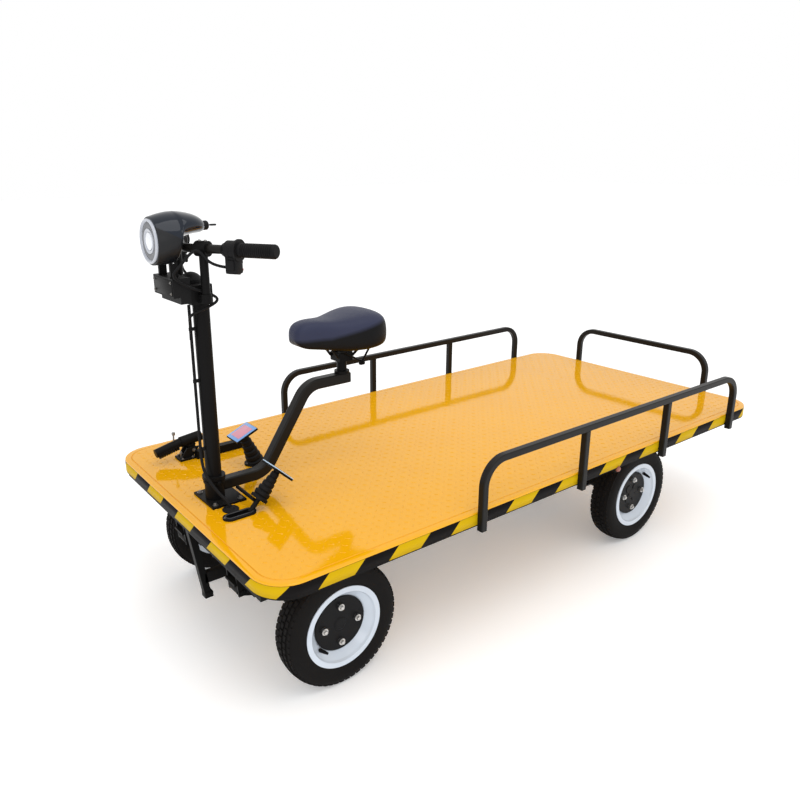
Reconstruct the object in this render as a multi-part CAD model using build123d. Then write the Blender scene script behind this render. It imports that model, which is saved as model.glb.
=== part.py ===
# Electric flatbed cart: a plate deck on four small wheels, with a steering
# column, a saddle on a bent arm, two pedals and low tube rails round the load.
# Millimetres. +X is forward, +Y is left, +Z is up, and the floor is z = 0.
# Pieces are drawn about the deck's centre and moved to the part's frame on export.
import os
from math import asin, cos, pi, sin

from build123d import *

# Driving dimensions: deck and frame
deck_length = 2090.0
deck_width = 1000.0
deck_top = 436.0
deck_corner = 90.0
deck_plate = 5.0
deck_edge_round = 2.0
seam_from_rear = 325.0
seam_gap = 0.6
skirt_height = 36.0
skirt_wall = 4.0
channel_height = 60.0
channel_width = 40.0
channel_wall = 4.0
channel_spacing = 340.0
cross_width = 40.0
cross_height = 36.0
end_beam_depth = 40.0
end_beam_height = 55.0
end_beam_inset = 10.0
end_beam_short = 65.0

# Driving dimensions: low rails round the deck
rail_tube = 20.0
rail_tube_round = 3.0
rail_height = 143.0
rail_bend = 72.0
rail_drop = 53.0
side_rail_front_setback = 643.0
side_rail_rear_setback = 190.0
side_rail_bays = 3
rear_rail_width = 592.0

# Driving dimensions: wheels and axles
tyre_diameter = 350.0
tyre_width = 78.0
tyre_shoulder = 7.0
wheel_offset = 70.0
rim_flange = 232.0
rim_flange_lip = 3.0
rim_width = 72.0
bead_seat = 203.0
rim_well = 180.0
rim_wall = 3.5
rim_dish = 29.0
rim_web = 6.0
hub_disc = 155.0
hub_disc_plate = 5.0
hub_barrel = 64.0
hub_cap = 40.0
hub_cap_height = 3.0
hub_bore = 22.0
seat_gap = 0.2
pin_gap = 0.05
front_axle_setback = 269.0
rear_axle_setback = 540.0
axle_beam = 40.0
axle_tube = 56.0
spring_pad = 4.0
back_plate = 164.0
back_plate_thick = 6.0

# Driving dimensions: tow post and rear drive
tow_post_size = 30.0
tow_post_foot = 140.0
tow_post_lean = 34.0
strut_height = 30.0
strut_width = 60.0
gear_case_inner = 35.0
gear_case_outer = 95.0
gear_case_width = 130.0
motor_forward = 135.0
motor_diameter = 150.0
motor_length = 170.0
battery_drop = 109.0
battery_gap = 40.0
battery_corner = 12.0

# Driving dimensions: steering
column_setback = 111.0
column_tube = 44.0
column_rise = 564.0
column_hole_gap = 8.0
column_plate_length = 102.0
column_plate_width = 126.0
column_plate_back = 14.0
column_plate_thick = 6.0
sleeve_tube = 54.0
sleeve_height = 58.0
collar = 64.0
collar_height = 10.0
collar_gap = 0.4
head_collar = 60.0
head_collar_height = 10.0
crown_depth = 58.0
crown_height = 48.0
yoke_depth = 28.0
yoke_thick = 22.0
yoke_lift = 5.0
crown_forward = 22.0
post_tube = 22.0
post_spacing = 160.0
bar_rise = 702.0
bar_tube = 22.0
bar_half_span = 262.0
bar_straight = 40.0
bar_forward = 40.0
bar_sweep = 118.0
bar_bend = 110.0
bar_clamp = 38.0
bar_clamp_length = 34.0
grip_diameter = 35.0
grip_length = 98.0
grip_cap = 4.0
housing_length = 46.0
housing_drop = 60.0
housing_depth = 34.0
housing_drum = 50.0
housing_corner = 7.0
housing_gap = 1.0
kingpin = 18.0
kingpin_spacing = 580.0
kingpin_boss = 40.0
kingpin_boss_height = 60.0
ear_gap = 0.5
ear_thick = 14.0
web_gap = 2.0
web_thick = 12.0
steer_arm = 100.0
steer_arm_width = 28.0
drop_arm_level = 257.0
drop_arm_thick = 12.0
link_pin = 12.0
link_rod = 16.0
link_eye = 28.0
link_eye_height = 14.0
link_gap = 1.0

# Driving dimensions: control head and lamp
box_width = 124.0
box_depth = 45.0
box_height = 47.0
box_lift = 22.0
box_foot_depth = 27.0
box_foot_drop = 17.0
cap_diameter = 56.0
cap_height = 26.0
cap_wall_height = 8.0
lamp_forward = 122.0
lamp_rise = 19.0
lamp_diameter = 120.0
lens_diameter = 108.0
lens_thick = 6.0
bracket_depth = 20.0
bracket_thick = 8.0
bracket_spacing = 72.0
bracket_setback = 42.0
key_barrel = 24.0
key_barrel_length = 22.0
key_bow = 18.0
key_thick = 4.0
key_length = 24.0

# Driving dimensions: leaf springs
leaf_width = 45.0
leaf_thick = 7.0
leaf_gap = 0.3
leaf_flat = 45.0
leaf_radius = 420.0
front_spring_half = 200.0
rear_spring_half = 250.0
eye_outer = 28.0
eye_pin = 12.0
hanger_plate = 6.0
hanger_gap = 2.0
hanger_depth = 46.0
clamp_plate = 8.0

# Driving dimensions: seat
arm_tube = 32.0
arm_tube_round = 5.0
arm_low = 41.0
arm_high = 272.0
arm_knee_low = 159.0
arm_knee_high = 314.0
arm_end = 462.0
arm_bend = 70.0
seat_post = 30.0
seat_post_back = 440.0
seat_post_height = 40.0
seat_flange = 46.0
seat_flange_thick = 8.0
seat_clamp = 48.0
seat_clamp_height = 26.0
saddle_plate_length = 72.0
saddle_plate_width = 90.0
saddle_plate_thick = 6.0
saddle_length = 300.0
saddle_width = 228.0
saddle_height = 113.0
saddle_lift = 80.0
saddle_back = 118.0
saddle_wire = 8.0
saddle_wire_spacing = 40.0
saddle_wire_front = 44.0
saddle_wire_rear = 60.0
saddle_wire_bend = 14.0

# Driving dimensions: pedals, hand brake and leads
tread_thick = 6.0
pedal_plate_thick = 5.0
boot_ribs = 6
pedal_stem = 14.0
brake_from_side = 176.0
brake_setback = 51.0
brake_plate_length = 52.0
brake_plate_width = 48.0
brake_plate_thick = 6.0
cheek_thick = 6.0
cheek_foot = 38.0
cheek_head = 42.0
cheek_height = 30.0
cheek_lean = 22.0
cheek_spacing = 20.0
cheek_clear = 4.0
brake_rail_width = 24.0
brake_rail_length = 170.0
brake_rail_height = 26.0
brake_rail_offset = 24.0
brake_sleeve = 34.0
brake_sleeve_length = 70.0
brake_sleeve_fall = 8.0
brake_grip = 28.0
brake_grip_length = 84.0
brake_grip_fall = 19.0
lead = 12.0
lead_gap = 5.0
lead_bend = 30.0
joint_gap = 8.0
grommet = 46.0
grommet_height = 9.0
grommet_y = 88.0
grommet_setback = 3.0
marker_length = 26.0
marker_height = 12.0
marker_thick = 5.0
marker_from_axle = 45.0

# Derived places
deck_front = deck_length / 2
deck_rear = -deck_length / 2
deck_side = deck_width / 2
deck_under = deck_top - deck_plate
seam_x = deck_rear + seam_from_rear
skirt_inner = deck_side - skirt_wall
channel_y = channel_spacing / 2
channel_outer = channel_y + channel_width / 2
channel_inner = channel_y - channel_width / 2
channel_bottom = deck_under - channel_height
beam_low = deck_under - end_beam_height
front_beam_face = deck_front - end_beam_inset
rear_beam_face = deck_rear + end_beam_inset
axle_z = tyre_diameter / 2
kingpin_y = kingpin_spacing / 2
wheel_y = kingpin_y + wheel_offset
front_axle_x = deck_front - front_axle_setback
rear_axle_x = deck_rear + rear_axle_setback
column_x = deck_front - column_setback
sleeve_base = deck_top + column_plate_thick
sleeve_top = sleeve_base + sleeve_height
collar_top = sleeve_top + collar_gap + collar_height
column_top = deck_top + column_rise
crown_top = column_top + crown_height
yoke_low = column_top + yoke_lift
yoke_top = yoke_low + yoke_thick
box_low = column_top + box_lift
crown_x = column_x + crown_forward
crown_front = crown_x + crown_depth / 2
bar_x = column_x + bar_forward
bar_z = deck_top + bar_rise
lamp_x = column_x + lamp_forward
lamp_z = bar_z + lamp_rise
web_inner = kingpin_y + kingpin_boss / 2 + web_gap
web_outer = web_inner + web_thick
ear_low_top = axle_z - kingpin_boss_height / 2 - ear_gap
ear_low = ear_low_top - ear_thick
ear_high = axle_z + kingpin_boss_height / 2 + ear_gap
ear_high_top = ear_high + ear_thick
drop_arm_top = drop_arm_level + drop_arm_thick
drag_eye_top = drop_arm_level - link_gap
tie_eye_top = ear_low - link_gap
rail_axis_z = deck_top + rail_height
side_rail_front = deck_front - side_rail_front_setback
side_rail_rear = deck_rear + side_rail_rear_setback
side_rail_bay = (side_rail_front - side_rail_rear) / side_rail_bays
rail_foot_z = deck_top - rail_drop
side_rail_y = deck_side + rail_tube / 2
rear_rail_x = deck_rear - rail_tube / 2
brake_y = brake_from_side - deck_side
spring_pad_top = axle_z + axle_tube / 2 + spring_pad
hub_face = wheel_y + rim_width / 2 - rim_dish + rim_web / 2 + hub_disc_plate

parts = {}


def save(name, *solids):
    """Keep one named sub-part, made of one or more separate solids."""
    parts[name] = Compound([solid for piece in solids for solid in piece.solids()])


def block(x0, x1, y0, y1, z0, z1):
    """A plain box between two corners."""
    return Pos((x0 + x1) / 2, (y0 + y1) / 2, (z0 + z1) / 2) * Box(x1 - x0, y1 - y0, z1 - z0)


def upright(x, y, z0, z1, diameter):
    """A round bar standing from z0 to z1."""
    return Pos(x, y, (z0 + z1) / 2) * Cylinder(diameter / 2, z1 - z0)


def across(x, z, y0, y1, diameter):
    """A round bar lying along Y."""
    return Pos(x, (y0 + y1) / 2, z) * Rot(90, 0, 0) * Cylinder(diameter / 2, y1 - y0)


def between(start, end, diameter):
    """A round bar from one point to another."""
    run = Vector(*end) - Vector(*start)
    return extrude(Plane(Vector(*start), z_dir=run) * Circle(diameter / 2), run.length)


def side_profile(points, half_width):
    """An outline in the XZ plane, given as (x, z), widened equally to both sides."""
    outline = Polyline(*points, close=True)
    return extrude(Plane.XZ * make_face(outline), half_width, both=True)


def bent_tube(points, bend, section):
    """A section swept along straight runs joined by bends of one radius."""
    path = FilletPolyline(*points, radius=bend)
    start = Plane(path @ 0, z_dir=path % 0)
    return sweep(start * section, path=path)


def dome_arc(radius, base, tip):
    """The arc of a ball's cap in a half section, from its rim at base to the axis at tip."""
    rise = tip - base
    ball = (radius ** 2 + rise ** 2) / (2 * rise)
    centre = tip - ball
    turn = (pi / 2 + asin((base - centre) / ball)) / 2
    return ThreePointArc((radius, base), (abs(ball) * cos(turn), centre + ball * sin(turn)), (0, tip))


def mirrored(solid):
    """The same piece on the other side of the cart."""
    return mirror(solid, about=Plane.XZ)


def deck_outline(inset=0.0):
    """The deck's plan with round corners, drawn in by an inset."""
    return RectangleRounded(deck_length - 2 * inset, deck_width - 2 * inset, deck_corner - inset)


def deck_plates():
    """Front and rear deck plates, split by the cross seam, with the column's hole."""
    plate = extrude(Pos(0, 0, deck_under) * deck_outline(), deck_plate)
    plate = fillet(plate.edges().group_by(Axis.Z)[-1], deck_edge_round)
    reach = deck_length + deck_width
    rear_cut = block(seam_x - seam_gap / 2, reach, -reach, reach, 0, reach)
    front_cut = block(-reach, seam_x + seam_gap / 2, -reach, reach, 0, reach)
    hole = upright(column_x, 0, 0, reach, column_tube + 2 * column_hole_gap)
    save("deck_plate", plate - front_cut - hole)
    save("rear_deck_plate", plate - rear_cut)


def deck_skirt():
    """The upright band under the deck's edge."""
    ring = deck_outline() - deck_outline(skirt_wall)
    save("deck_skirt", extrude(Pos(0, 0, deck_under - skirt_height) * ring, skirt_height))


def frame():
    """Two lengthwise channels, end beams and cross tubes under the plates."""
    front_inner = front_beam_face - end_beam_depth
    rear_inner = rear_beam_face + end_beam_depth
    length = front_inner - rear_inner
    web = block(rear_inner, front_inner, channel_outer - channel_wall, channel_outer,
                channel_bottom, deck_under)
    channel = web
    for z in (channel_bottom, deck_under - channel_wall):
        channel += block(rear_inner, front_inner, channel_inner, channel_outer, z, z + channel_wall)
    save("frame_channels", channel, mirrored(channel))

    half_beam = deck_side - end_beam_short
    front_beam = block(front_inner, front_beam_face, -half_beam, half_beam, beam_low, deck_under)
    rear_beam = block(rear_beam_face, rear_inner, -half_beam, half_beam, beam_low, deck_under)
    cross_low = deck_under - cross_height
    cross_places = (seam_x, seam_x + length / 4, seam_x + length / 2, front_axle_x - steer_arm)
    pieces = [front_beam, rear_beam]
    for x in cross_places:
        x0, x1 = x - cross_width / 2, x + cross_width / 2
        outrigger = block(x0, x1, channel_outer, skirt_inner, cross_low, deck_under)
        pieces += [block(x0, x1, -channel_inner, channel_inner, cross_low, deck_under)]
        pieces += [outrigger, mirrored(outrigger)]
    bearing = block(column_x - column_tube, column_x + column_tube, -channel_inner, channel_inner,
                    channel_bottom, channel_bottom + 2 * channel_wall)
    pieces += [bearing - upright(column_x, 0, 0, deck_top, column_tube + 2 * pin_gap)]
    save("frame_crossmembers", *pieces)


def low_rails():
    """Bent square-tube rails along both sides and across the rear."""
    section = RectangleRounded(rail_tube, rail_tube, rail_tube_round)
    hoop = bent_tube([(side_rail_front, side_rail_y, rail_foot_z),
                      (side_rail_front, side_rail_y, rail_axis_z),
                      (side_rail_rear, side_rail_y, rail_axis_z),
                      (side_rail_rear, side_rail_y, rail_foot_z)], rail_bend, section)
    pieces = [hoop, mirrored(hoop)]
    for bay in range(1, side_rail_bays):
        x = side_rail_front - bay * side_rail_bay
        post = extrude(Pos(x, side_rail_y, rail_foot_z) * section,
                       rail_axis_z - rail_tube / 2 - rail_foot_z)
        pieces += [post, mirrored(post)]
    save("side_rails", *pieces)

    half = rear_rail_width / 2
    save("rear_rail", bent_tube([(rear_rail_x, half, rail_foot_z), (rear_rail_x, half, rail_axis_z),
                                 (rear_rail_x, -half, rail_axis_z), (rear_rail_x, -half, rail_foot_z)],
                                rail_bend, section))


def tyre():
    """A road tyre about the Y axis, centred on its own middle plane."""
    half = tyre_width / 2
    crown = tyre_diameter / 2
    bead = bead_seat / 2 + seat_gap
    flange = rim_flange / 2
    lip = rim_width / 2 - rim_flange_lip - seat_gap
    shoulder = (crown - tyre_shoulder, 0.8 * half)
    belly = ((flange + crown) / 2, half)
    right = [Line((bead, 0), (bead, lip - rim_flange_lip)),
             Line((bead, lip - rim_flange_lip), (flange + seat_gap, lip)),
             ThreePointArc((flange + seat_gap, lip), belly, shoulder),
             ThreePointArc(shoulder, (crown - 0.3 * tyre_shoulder, 0.45 * half), (crown, 0))]
    half_face = make_face(right + [Line((crown, 0), (bead, 0))])
    face = half_face + mirror(half_face, about=Plane.XZ)
    return revolve(face, Axis.Y)


def rim():
    """A deep-dish pressed rim with its outboard side at +Y."""
    half = rim_width / 2
    seat = bead_seat / 2
    well = rim_well / 2
    flange = rim_flange / 2
    lip = half - rim_flange_lip
    toe = lip - rim_flange_lip
    web = half - rim_dish
    outline = Polyline((flange, half), (flange, lip), (seat, toe), (seat, toe / 2), (well, toe / 3),
                       (well, -toe / 3), (seat, -toe / 2), (seat, -toe), (flange, -lip),
                       (flange, -half), (seat, -half), (seat - rim_wall, -toe),
                       (seat - rim_wall, -toe / 2 - rim_wall), (well - rim_wall, -toe / 3 - rim_wall),
                       (well - rim_wall, web - rim_web / 2), (hub_barrel / 2 + seat_gap, web - rim_web / 2),
                       (hub_barrel / 2 + seat_gap, web + rim_web / 2), (hub_disc / 2, web + rim_web / 2),
                       (seat - rim_wall, toe), (seat, half), close=True)
    return revolve(make_face(outline), Axis.Y)


def hub():
    """Hub barrel, bolt disc and cap round a blind bore, outboard side at +Y."""
    face = hub_face - wheel_y
    inner = web_outer + web_gap - wheel_y
    bore = hub_bore / 2 + pin_gap
    cap = face + hub_cap_height
    outline = Polyline((bore, inner), (hub_barrel / 2, inner), (hub_barrel / 2, face - hub_disc_plate),
                       (hub_disc / 2, face - hub_disc_plate), (hub_disc / 2, face), (hub_cap / 2, face),
                       (0.8 * hub_cap / 2, cap), (0, cap), (0, face + seat_gap), (bore, face + seat_gap),
                       close=True)
    return revolve(make_face(outline), Axis.Y)


def wheels():
    """Four wheels, each a tyre, a rim and a hub on its own body."""
    corners = (("front_left", front_axle_x, 1), ("front_right", front_axle_x, -1),
               ("rear_left", rear_axle_x, 1), ("rear_right", rear_axle_x, -1))
    for piece, shape in (("tyre", tyre()), ("rim", rim()), ("hub", hub())):
        for corner, x, side in corners:
            turned = shape if side > 0 else Rot(0, 0, 180) * shape
            save(f"{piece}_{corner}", Pos(x, side * wheel_y, axle_z) * turned)


def front_axle():
    """A square beam that ends in a kingpin boss on each side."""
    half = axle_beam / 2
    beam = block(front_axle_x - half, front_axle_x + half, -kingpin_y, kingpin_y, axle_z - half, axle_z + half)
    for y in (-kingpin_y, kingpin_y):
        low, high = axle_z - kingpin_boss_height / 2, axle_z + kingpin_boss_height / 2
        beam += upright(front_axle_x, y, low, high, kingpin_boss)
    for y in (-kingpin_y, kingpin_y):
        beam -= upright(front_axle_x, y, 0, deck_top, kingpin + 2 * pin_gap)
    save("front_axle", beam)


def lever(x0, x1, y, z0, z1):
    """A flat lever with round ends, lying along X."""
    length = abs(x1 - x0)
    plan = Pos((x0 + x1) / 2, y, z0) * SlotCenterToCenter(length, steer_arm_width)
    return extrude(plan, z1 - z0)


def knuckle(top_lever):
    """A left knuckle: forked ears on the kingpin, a spindle and its steering arm."""
    arm_end_x = front_axle_x - steer_arm
    half = kingpin_boss / 2
    pin_top = drop_arm_top if top_lever else ear_high_top
    body = upright(front_axle_x, kingpin_y, ear_low, pin_top, kingpin)
    for z in (ear_low, ear_high):
        body += upright(front_axle_x, kingpin_y, z, z + ear_thick, kingpin_boss)
        body += block(front_axle_x - half, front_axle_x + half, kingpin_y, web_outer, z, z + ear_thick)
    body += block(front_axle_x - half, front_axle_x + half, web_inner, web_outer, ear_low, ear_high_top)
    body += across(front_axle_x, axle_z, web_outer, hub_face, hub_bore)
    body += lever(front_axle_x, arm_end_x, kingpin_y, ear_low, ear_low_top)
    body += upright(arm_end_x, kingpin_y, tie_eye_top - link_eye_height - link_gap, ear_low, link_pin)
    if top_lever:
        body += lever(front_axle_x, arm_end_x, kingpin_y, drop_arm_level, drop_arm_top)
        body += upright(arm_end_x, kingpin_y, drag_eye_top - link_eye_height - link_gap,
                        drop_arm_level, link_pin)
    return body


def link(start, end, eye_top):
    """A rod between two upright eyes that run on pins."""
    eye_mid = eye_top - link_eye_height / 2
    body = between((*start, eye_mid), (*end, eye_mid), link_rod)
    for x, y in (start, end):
        body += upright(x, y, eye_top - link_eye_height, eye_top, link_eye)
    for x, y in (start, end):
        body -= upright(x, y, 0, deck_top, link_pin + 2 * pin_gap)
    return body


def steering_linkage():
    """Knuckles on the kingpins, the tie rod between them and the drag link."""
    arm_x = front_axle_x - steer_arm
    save("knuckle_left", knuckle(True))
    save("knuckle_right", mirrored(knuckle(False)))
    save("tie_rod", link((arm_x, kingpin_y), (arm_x, -kingpin_y), tie_eye_top))
    save("drag_link", link((column_x - steer_arm, 0), (arm_x, kingpin_y), drag_eye_top))


def tow_post():
    """The slanted post under the front beam and the strut back to the axle."""
    strut_low = axle_z + axle_beam / 2
    strut_high = strut_low + strut_height
    strut_rear = front_axle_x - axle_beam / 2

    def rear_face(z):
        return front_beam_face - tow_post_size - tow_post_lean * (beam_low - z) / (beam_low - tow_post_foot)

    post = side_profile([(front_beam_face, beam_low), (rear_face(beam_low), beam_low),
                         (rear_face(tow_post_foot), tow_post_foot),
                         (rear_face(tow_post_foot) + tow_post_size, tow_post_foot)], tow_post_size / 2)
    strut = side_profile([(strut_rear, strut_low), (rear_face(strut_low), strut_low),
                          (rear_face(strut_high), strut_high), (strut_rear, strut_high)], strut_width / 2)
    save("axle_strut", post, strut)


def leaf(half_length, layer):
    """One spring leaf in the XZ plane: flat over the axle, then curving up both ways."""
    low_radius = leaf_radius - layer * (leaf_thick + leaf_gap)
    high_radius = low_radius - leaf_thick
    turn = asin((half_length - leaf_flat) / leaf_radius)

    def at(radius, angle):
        return (leaf_flat + radius * sin(angle), leaf_radius - radius * cos(angle))

    low = [at(low_radius, 0), at(low_radius, turn / 2), at(low_radius, turn)]
    high = [at(high_radius, turn), at(high_radius, turn / 2), at(high_radius, 0)]
    base = (0, low[0][1])
    head = (0, high[2][1])
    edges = [Line(base, low[0]), ThreePointArc(*low), Line(low[2], high[0]), ThreePointArc(*high),
             Line(high[2], head), Line(head, base)]
    half_leaf = extrude(Plane.XZ * make_face(edges), leaf_width / 2, both=True)
    return half_leaf + mirror(half_leaf, about=Plane.YZ), at(low_radius - eye_outer / 2, turn)


def springs():
    """Leaf packs on both axles, with eyes, hangers and clamp plates."""
    axles = (("front", front_axle_x, axle_z + axle_beam / 2, front_spring_half),
             ("rear", rear_axle_x, spring_pad_top, rear_spring_half))
    hangers = []
    for end, x, seat, half_length in axles:
        pack = []
        for layer, share in enumerate((0.55, 0.78, 1.0)):
            strip, eye = leaf(share * half_length, layer)
            pack += [strip]
        for way in (-1, 1):
            pack[2] += across(way * eye[0], eye[1], -leaf_width / 2, leaf_width / 2, eye_outer)
        for way in (-1, 1):
            pack[2] -= across(way * eye[0], eye[1], -leaf_width, leaf_width, eye_pin + 2 * seat_gap)
        top = 3 * leaf_thick + 2 * leaf_gap
        pack += [block(-leaf_flat, leaf_flat, -leaf_width / 2, leaf_width / 2, top, top + clamp_plate)]
        placed = []
        for side in (-1, 1):
            place = Pos(x, side * channel_y, seat)
            placed += [place * piece for piece in pack]
            hangers += [place * hanger(way * eye[0], eye[1], channel_bottom - seat) for way in (-1, 1)]
        save(f"{end}_springs", *placed)
    save("spring_hangers", *hangers)


def hanger(x, eye_z, top):
    """Two cheek plates and a pin that carry a spring eye under a channel."""
    inner = leaf_width / 2 + hanger_gap
    outer = inner + hanger_plate
    half = hanger_depth / 2
    low = eye_z - eye_outer / 2
    roof = eye_z + eye_outer / 2 + hanger_gap
    body = across(x, eye_z, -outer, outer, eye_pin)
    for y in (-outer, inner):
        body += block(x - half, x + half, y, y + hanger_plate, low, top)
    return body + block(x - half, x + half, -outer, outer, roof, top)


def rear_drive():
    """Rear axle tube with spring pads and back plates, gear case and motor."""
    axle = across(rear_axle_x, axle_z, -web_inner, web_inner, axle_tube)
    axle += across(rear_axle_x, axle_z, -hub_face, hub_face, hub_bore)
    for side in (-1, 1):
        y = side * channel_y
        axle += block(rear_axle_x - leaf_flat, rear_axle_x + leaf_flat, y - leaf_width / 2, y + leaf_width / 2,
                      axle_z, spring_pad_top)
        y0, y1 = sorted((side * (web_inner - back_plate_thick), side * web_inner))
        axle += across(rear_axle_x, axle_z, y0, y1, back_plate)
    save("rear_axle", axle)

    motor_x = rear_axle_x + motor_forward
    plan = Pos(rear_axle_x + motor_forward / 2, axle_z) * SlotCenterToCenter(motor_forward, gear_case_width)
    case = Pos(0, gear_case_outer, 0) * extrude(Plane.XZ * plan, gear_case_outer - gear_case_inner)
    save("gear_case", case - across(rear_axle_x, axle_z, -deck_side, deck_side, axle_tube + 2 * seat_gap))
    save("drive_motor", across(motor_x, axle_z, gear_case_inner - motor_length, gear_case_inner, motor_diameter))


def battery_box():
    """A closed battery box hung under the channels, between the spring hangers."""
    x0 = rear_axle_x + rear_spring_half + hanger_depth + battery_gap
    x1 = front_axle_x - front_spring_half - hanger_depth - battery_gap
    box = block(x0, x1, -channel_y, channel_y, channel_bottom - battery_drop, channel_bottom)
    save("battery_box", fillet(box.edges().filter_by(Axis.Z), battery_corner))


def steering_column():
    """The fixed sleeve on the deck and the turning column with its drop arm."""
    bore = column_tube + 2 * pin_gap
    plate_x = column_x - column_plate_back
    half_long = column_plate_length / 2
    half_wide = column_plate_width / 2
    sleeve = block(plate_x - half_long, plate_x + half_long, -half_wide, half_wide, deck_top, sleeve_base)
    sleeve += upright(column_x, 0, sleeve_base, sleeve_top, sleeve_tube)
    save("column_sleeve", sleeve - upright(column_x, 0, deck_under, column_top, bore))

    column = upright(column_x, 0, drop_arm_level, column_top, column_tube)
    column += upright(column_x, 0, sleeve_top + collar_gap, collar_top, collar)
    column += upright(column_x, 0, column_top - head_collar_height, column_top, head_collar)
    column += lever(column_x, column_x - steer_arm, 0, drop_arm_level, drop_arm_top)
    column += upright(column_x - steer_arm, 0, drag_eye_top - link_eye_height - link_gap,
                      drop_arm_level, link_pin)
    save("steering_column", column)


def bar_line(y):
    """Where the swept half of the handlebar's centre line lies at a distance out."""
    return bar_x - bar_sweep * (y - bar_straight) / (bar_half_span - bar_straight)


def handlebar():
    """Crown with its yoke, posts, bar, grips and switch housings."""
    post_y = post_spacing / 2
    post_x = bar_line(post_y)
    half_box = box_width / 2
    crown = block(crown_x - crown_depth / 2, crown_front, -half_box, half_box, column_top, crown_top)
    yoke = Pos(post_x, 0, yoke_low) * Rot(0, 0, 90) * SlotCenterToCenter(post_spacing, yoke_depth)
    save("fork_crown", crown + extrude(yoke, yoke_thick))

    end = Vector(bar_x - bar_sweep, bar_half_span, bar_z)
    inward = (Vector(bar_x, bar_straight, bar_z) - end).normalized()
    left = [(bar_x - bar_sweep, bar_half_span, bar_z), (bar_x, bar_straight, bar_z)]
    right = [(x, -y, z) for x, y, z in reversed(left)]
    save("handlebar", bent_tube(left + right, bar_bend, Circle(bar_tube / 2)))

    bore = bar_tube + 2 * seat_gap
    tunnel = between(tuple(end), tuple(end + inward * bar_half_span), bore)
    middle = Vector(post_x, post_y, bar_z)
    half_clamp = inward * (bar_clamp_length / 2)
    post = upright(post_x, post_y, yoke_top, bar_z, post_tube)
    post += between(tuple(middle - half_clamp), tuple(middle + half_clamp), bar_clamp)
    post -= tunnel
    save("bar_posts", post, mirrored(post))

    grip = between(tuple(end - inward * grip_cap), tuple(end + inward * grip_length), grip_diameter) - tunnel
    save("grips", grip, mirrored(grip))
    place = Plane(end + inward * (grip_length + housing_gap), x_dir=(0, 0, 1), z_dir=inward)
    outline = Circle(housing_drum / 2)
    outline += Pos(-housing_drop / 2, 0) * RectangleRounded(housing_drop, housing_depth, housing_corner)
    housing = extrude(place * outline, housing_length) - tunnel
    save("switch_housings", housing, mirrored(housing))


def lamp_faces(sections):
    """Round-cornered sections across the lamp pod, from the lens towards the rider."""
    faces = []
    for back, lift, wide, tall, corner in sections:
        centre = (lamp_x - back * lamp_diameter, 0, lamp_z + lift * lamp_diameter)
        section = RectangleRounded(wide * lamp_diameter, tall * lamp_diameter, corner * lamp_diameter)
        faces += [Plane(centre, x_dir=(0, 1, 0), z_dir=(1, 0, 0)) * section]
    return faces


def head():
    """Control box on the crown, the lamp pod over it, the dome cap and the key switch."""
    box_front = crown_front + box_depth
    foot_front = crown_front + box_foot_depth
    box_top = box_low + box_height
    points = [(crown_front, box_low - box_foot_drop), (foot_front, box_low - box_foot_drop),
              (foot_front, box_low), (box_front, box_low), (box_front, box_top), (crown_front, box_top)]
    save("control_box", side_profile(points, box_width / 2))

    radius = cap_diameter / 2
    dome = [Line((0, 0), (radius, 0)), Line((radius, 0), (radius, cap_wall_height)),
            dome_arc(radius, cap_wall_height, cap_height), Line((0, cap_height), (0, 0))]
    save("horn", Pos(crown_x, 0, crown_top) * Rot(90, 0, 0) * revolve(make_face(dome), Axis.Y))

    # how far back and up each section lies, and its width, height and corner, in lamp diameters
    drum_sections = ((0.02, 0.00, 1.00, 1.00, 0.48), (0.40, 0.05, 1.21, 1.06, 0.44))
    canopy_sections = ((0.40, 0.31, 1.21, 0.54, 0.24), (0.84, 0.31, 1.06, 0.42, 0.20),
                       (1.12, 0.24, 0.58, 0.33, 0.15))
    drum = lamp_faces(drum_sections)
    canopy = lamp_faces(canopy_sections)
    pod = loft(drum) + loft(canopy)
    save("lamp_pod", pod)
    lens_back = drum[0].center().X
    lens_x = lens_back + lens_thick / 2
    save("lamp_lens", Pos(lens_x, 0, lamp_z) * Rot(0, 90, 0) * Cylinder(lens_diameter / 2, lens_thick))

    bracket_x = lamp_x - bracket_setback
    bracket_y = bracket_spacing / 2
    strut = block(bracket_x - bracket_depth / 2, bracket_x + bracket_depth / 2, bracket_y - bracket_thick / 2,
                  bracket_y + bracket_thick / 2, box_top, lamp_z) - pod
    strut = strut.solids().sort_by(Axis.Z)[0]
    save("lamp_brackets", strut, mirrored(strut))

    key_x, key_z = canopy[-1].center().X, canopy[-1].center().Z
    barrel = Pos(key_x - key_barrel_length / 2, 0, key_z) * Rot(0, 90, 0) * Cylinder(key_barrel / 2, key_barrel_length)
    key_front = key_x - key_barrel_length
    key = block(key_front - key_length, key_front, -key_bow / 2, key_bow / 2, key_z - key_thick / 2,
                key_z + key_thick / 2)
    save("key_switch", barrel, key)


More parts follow.
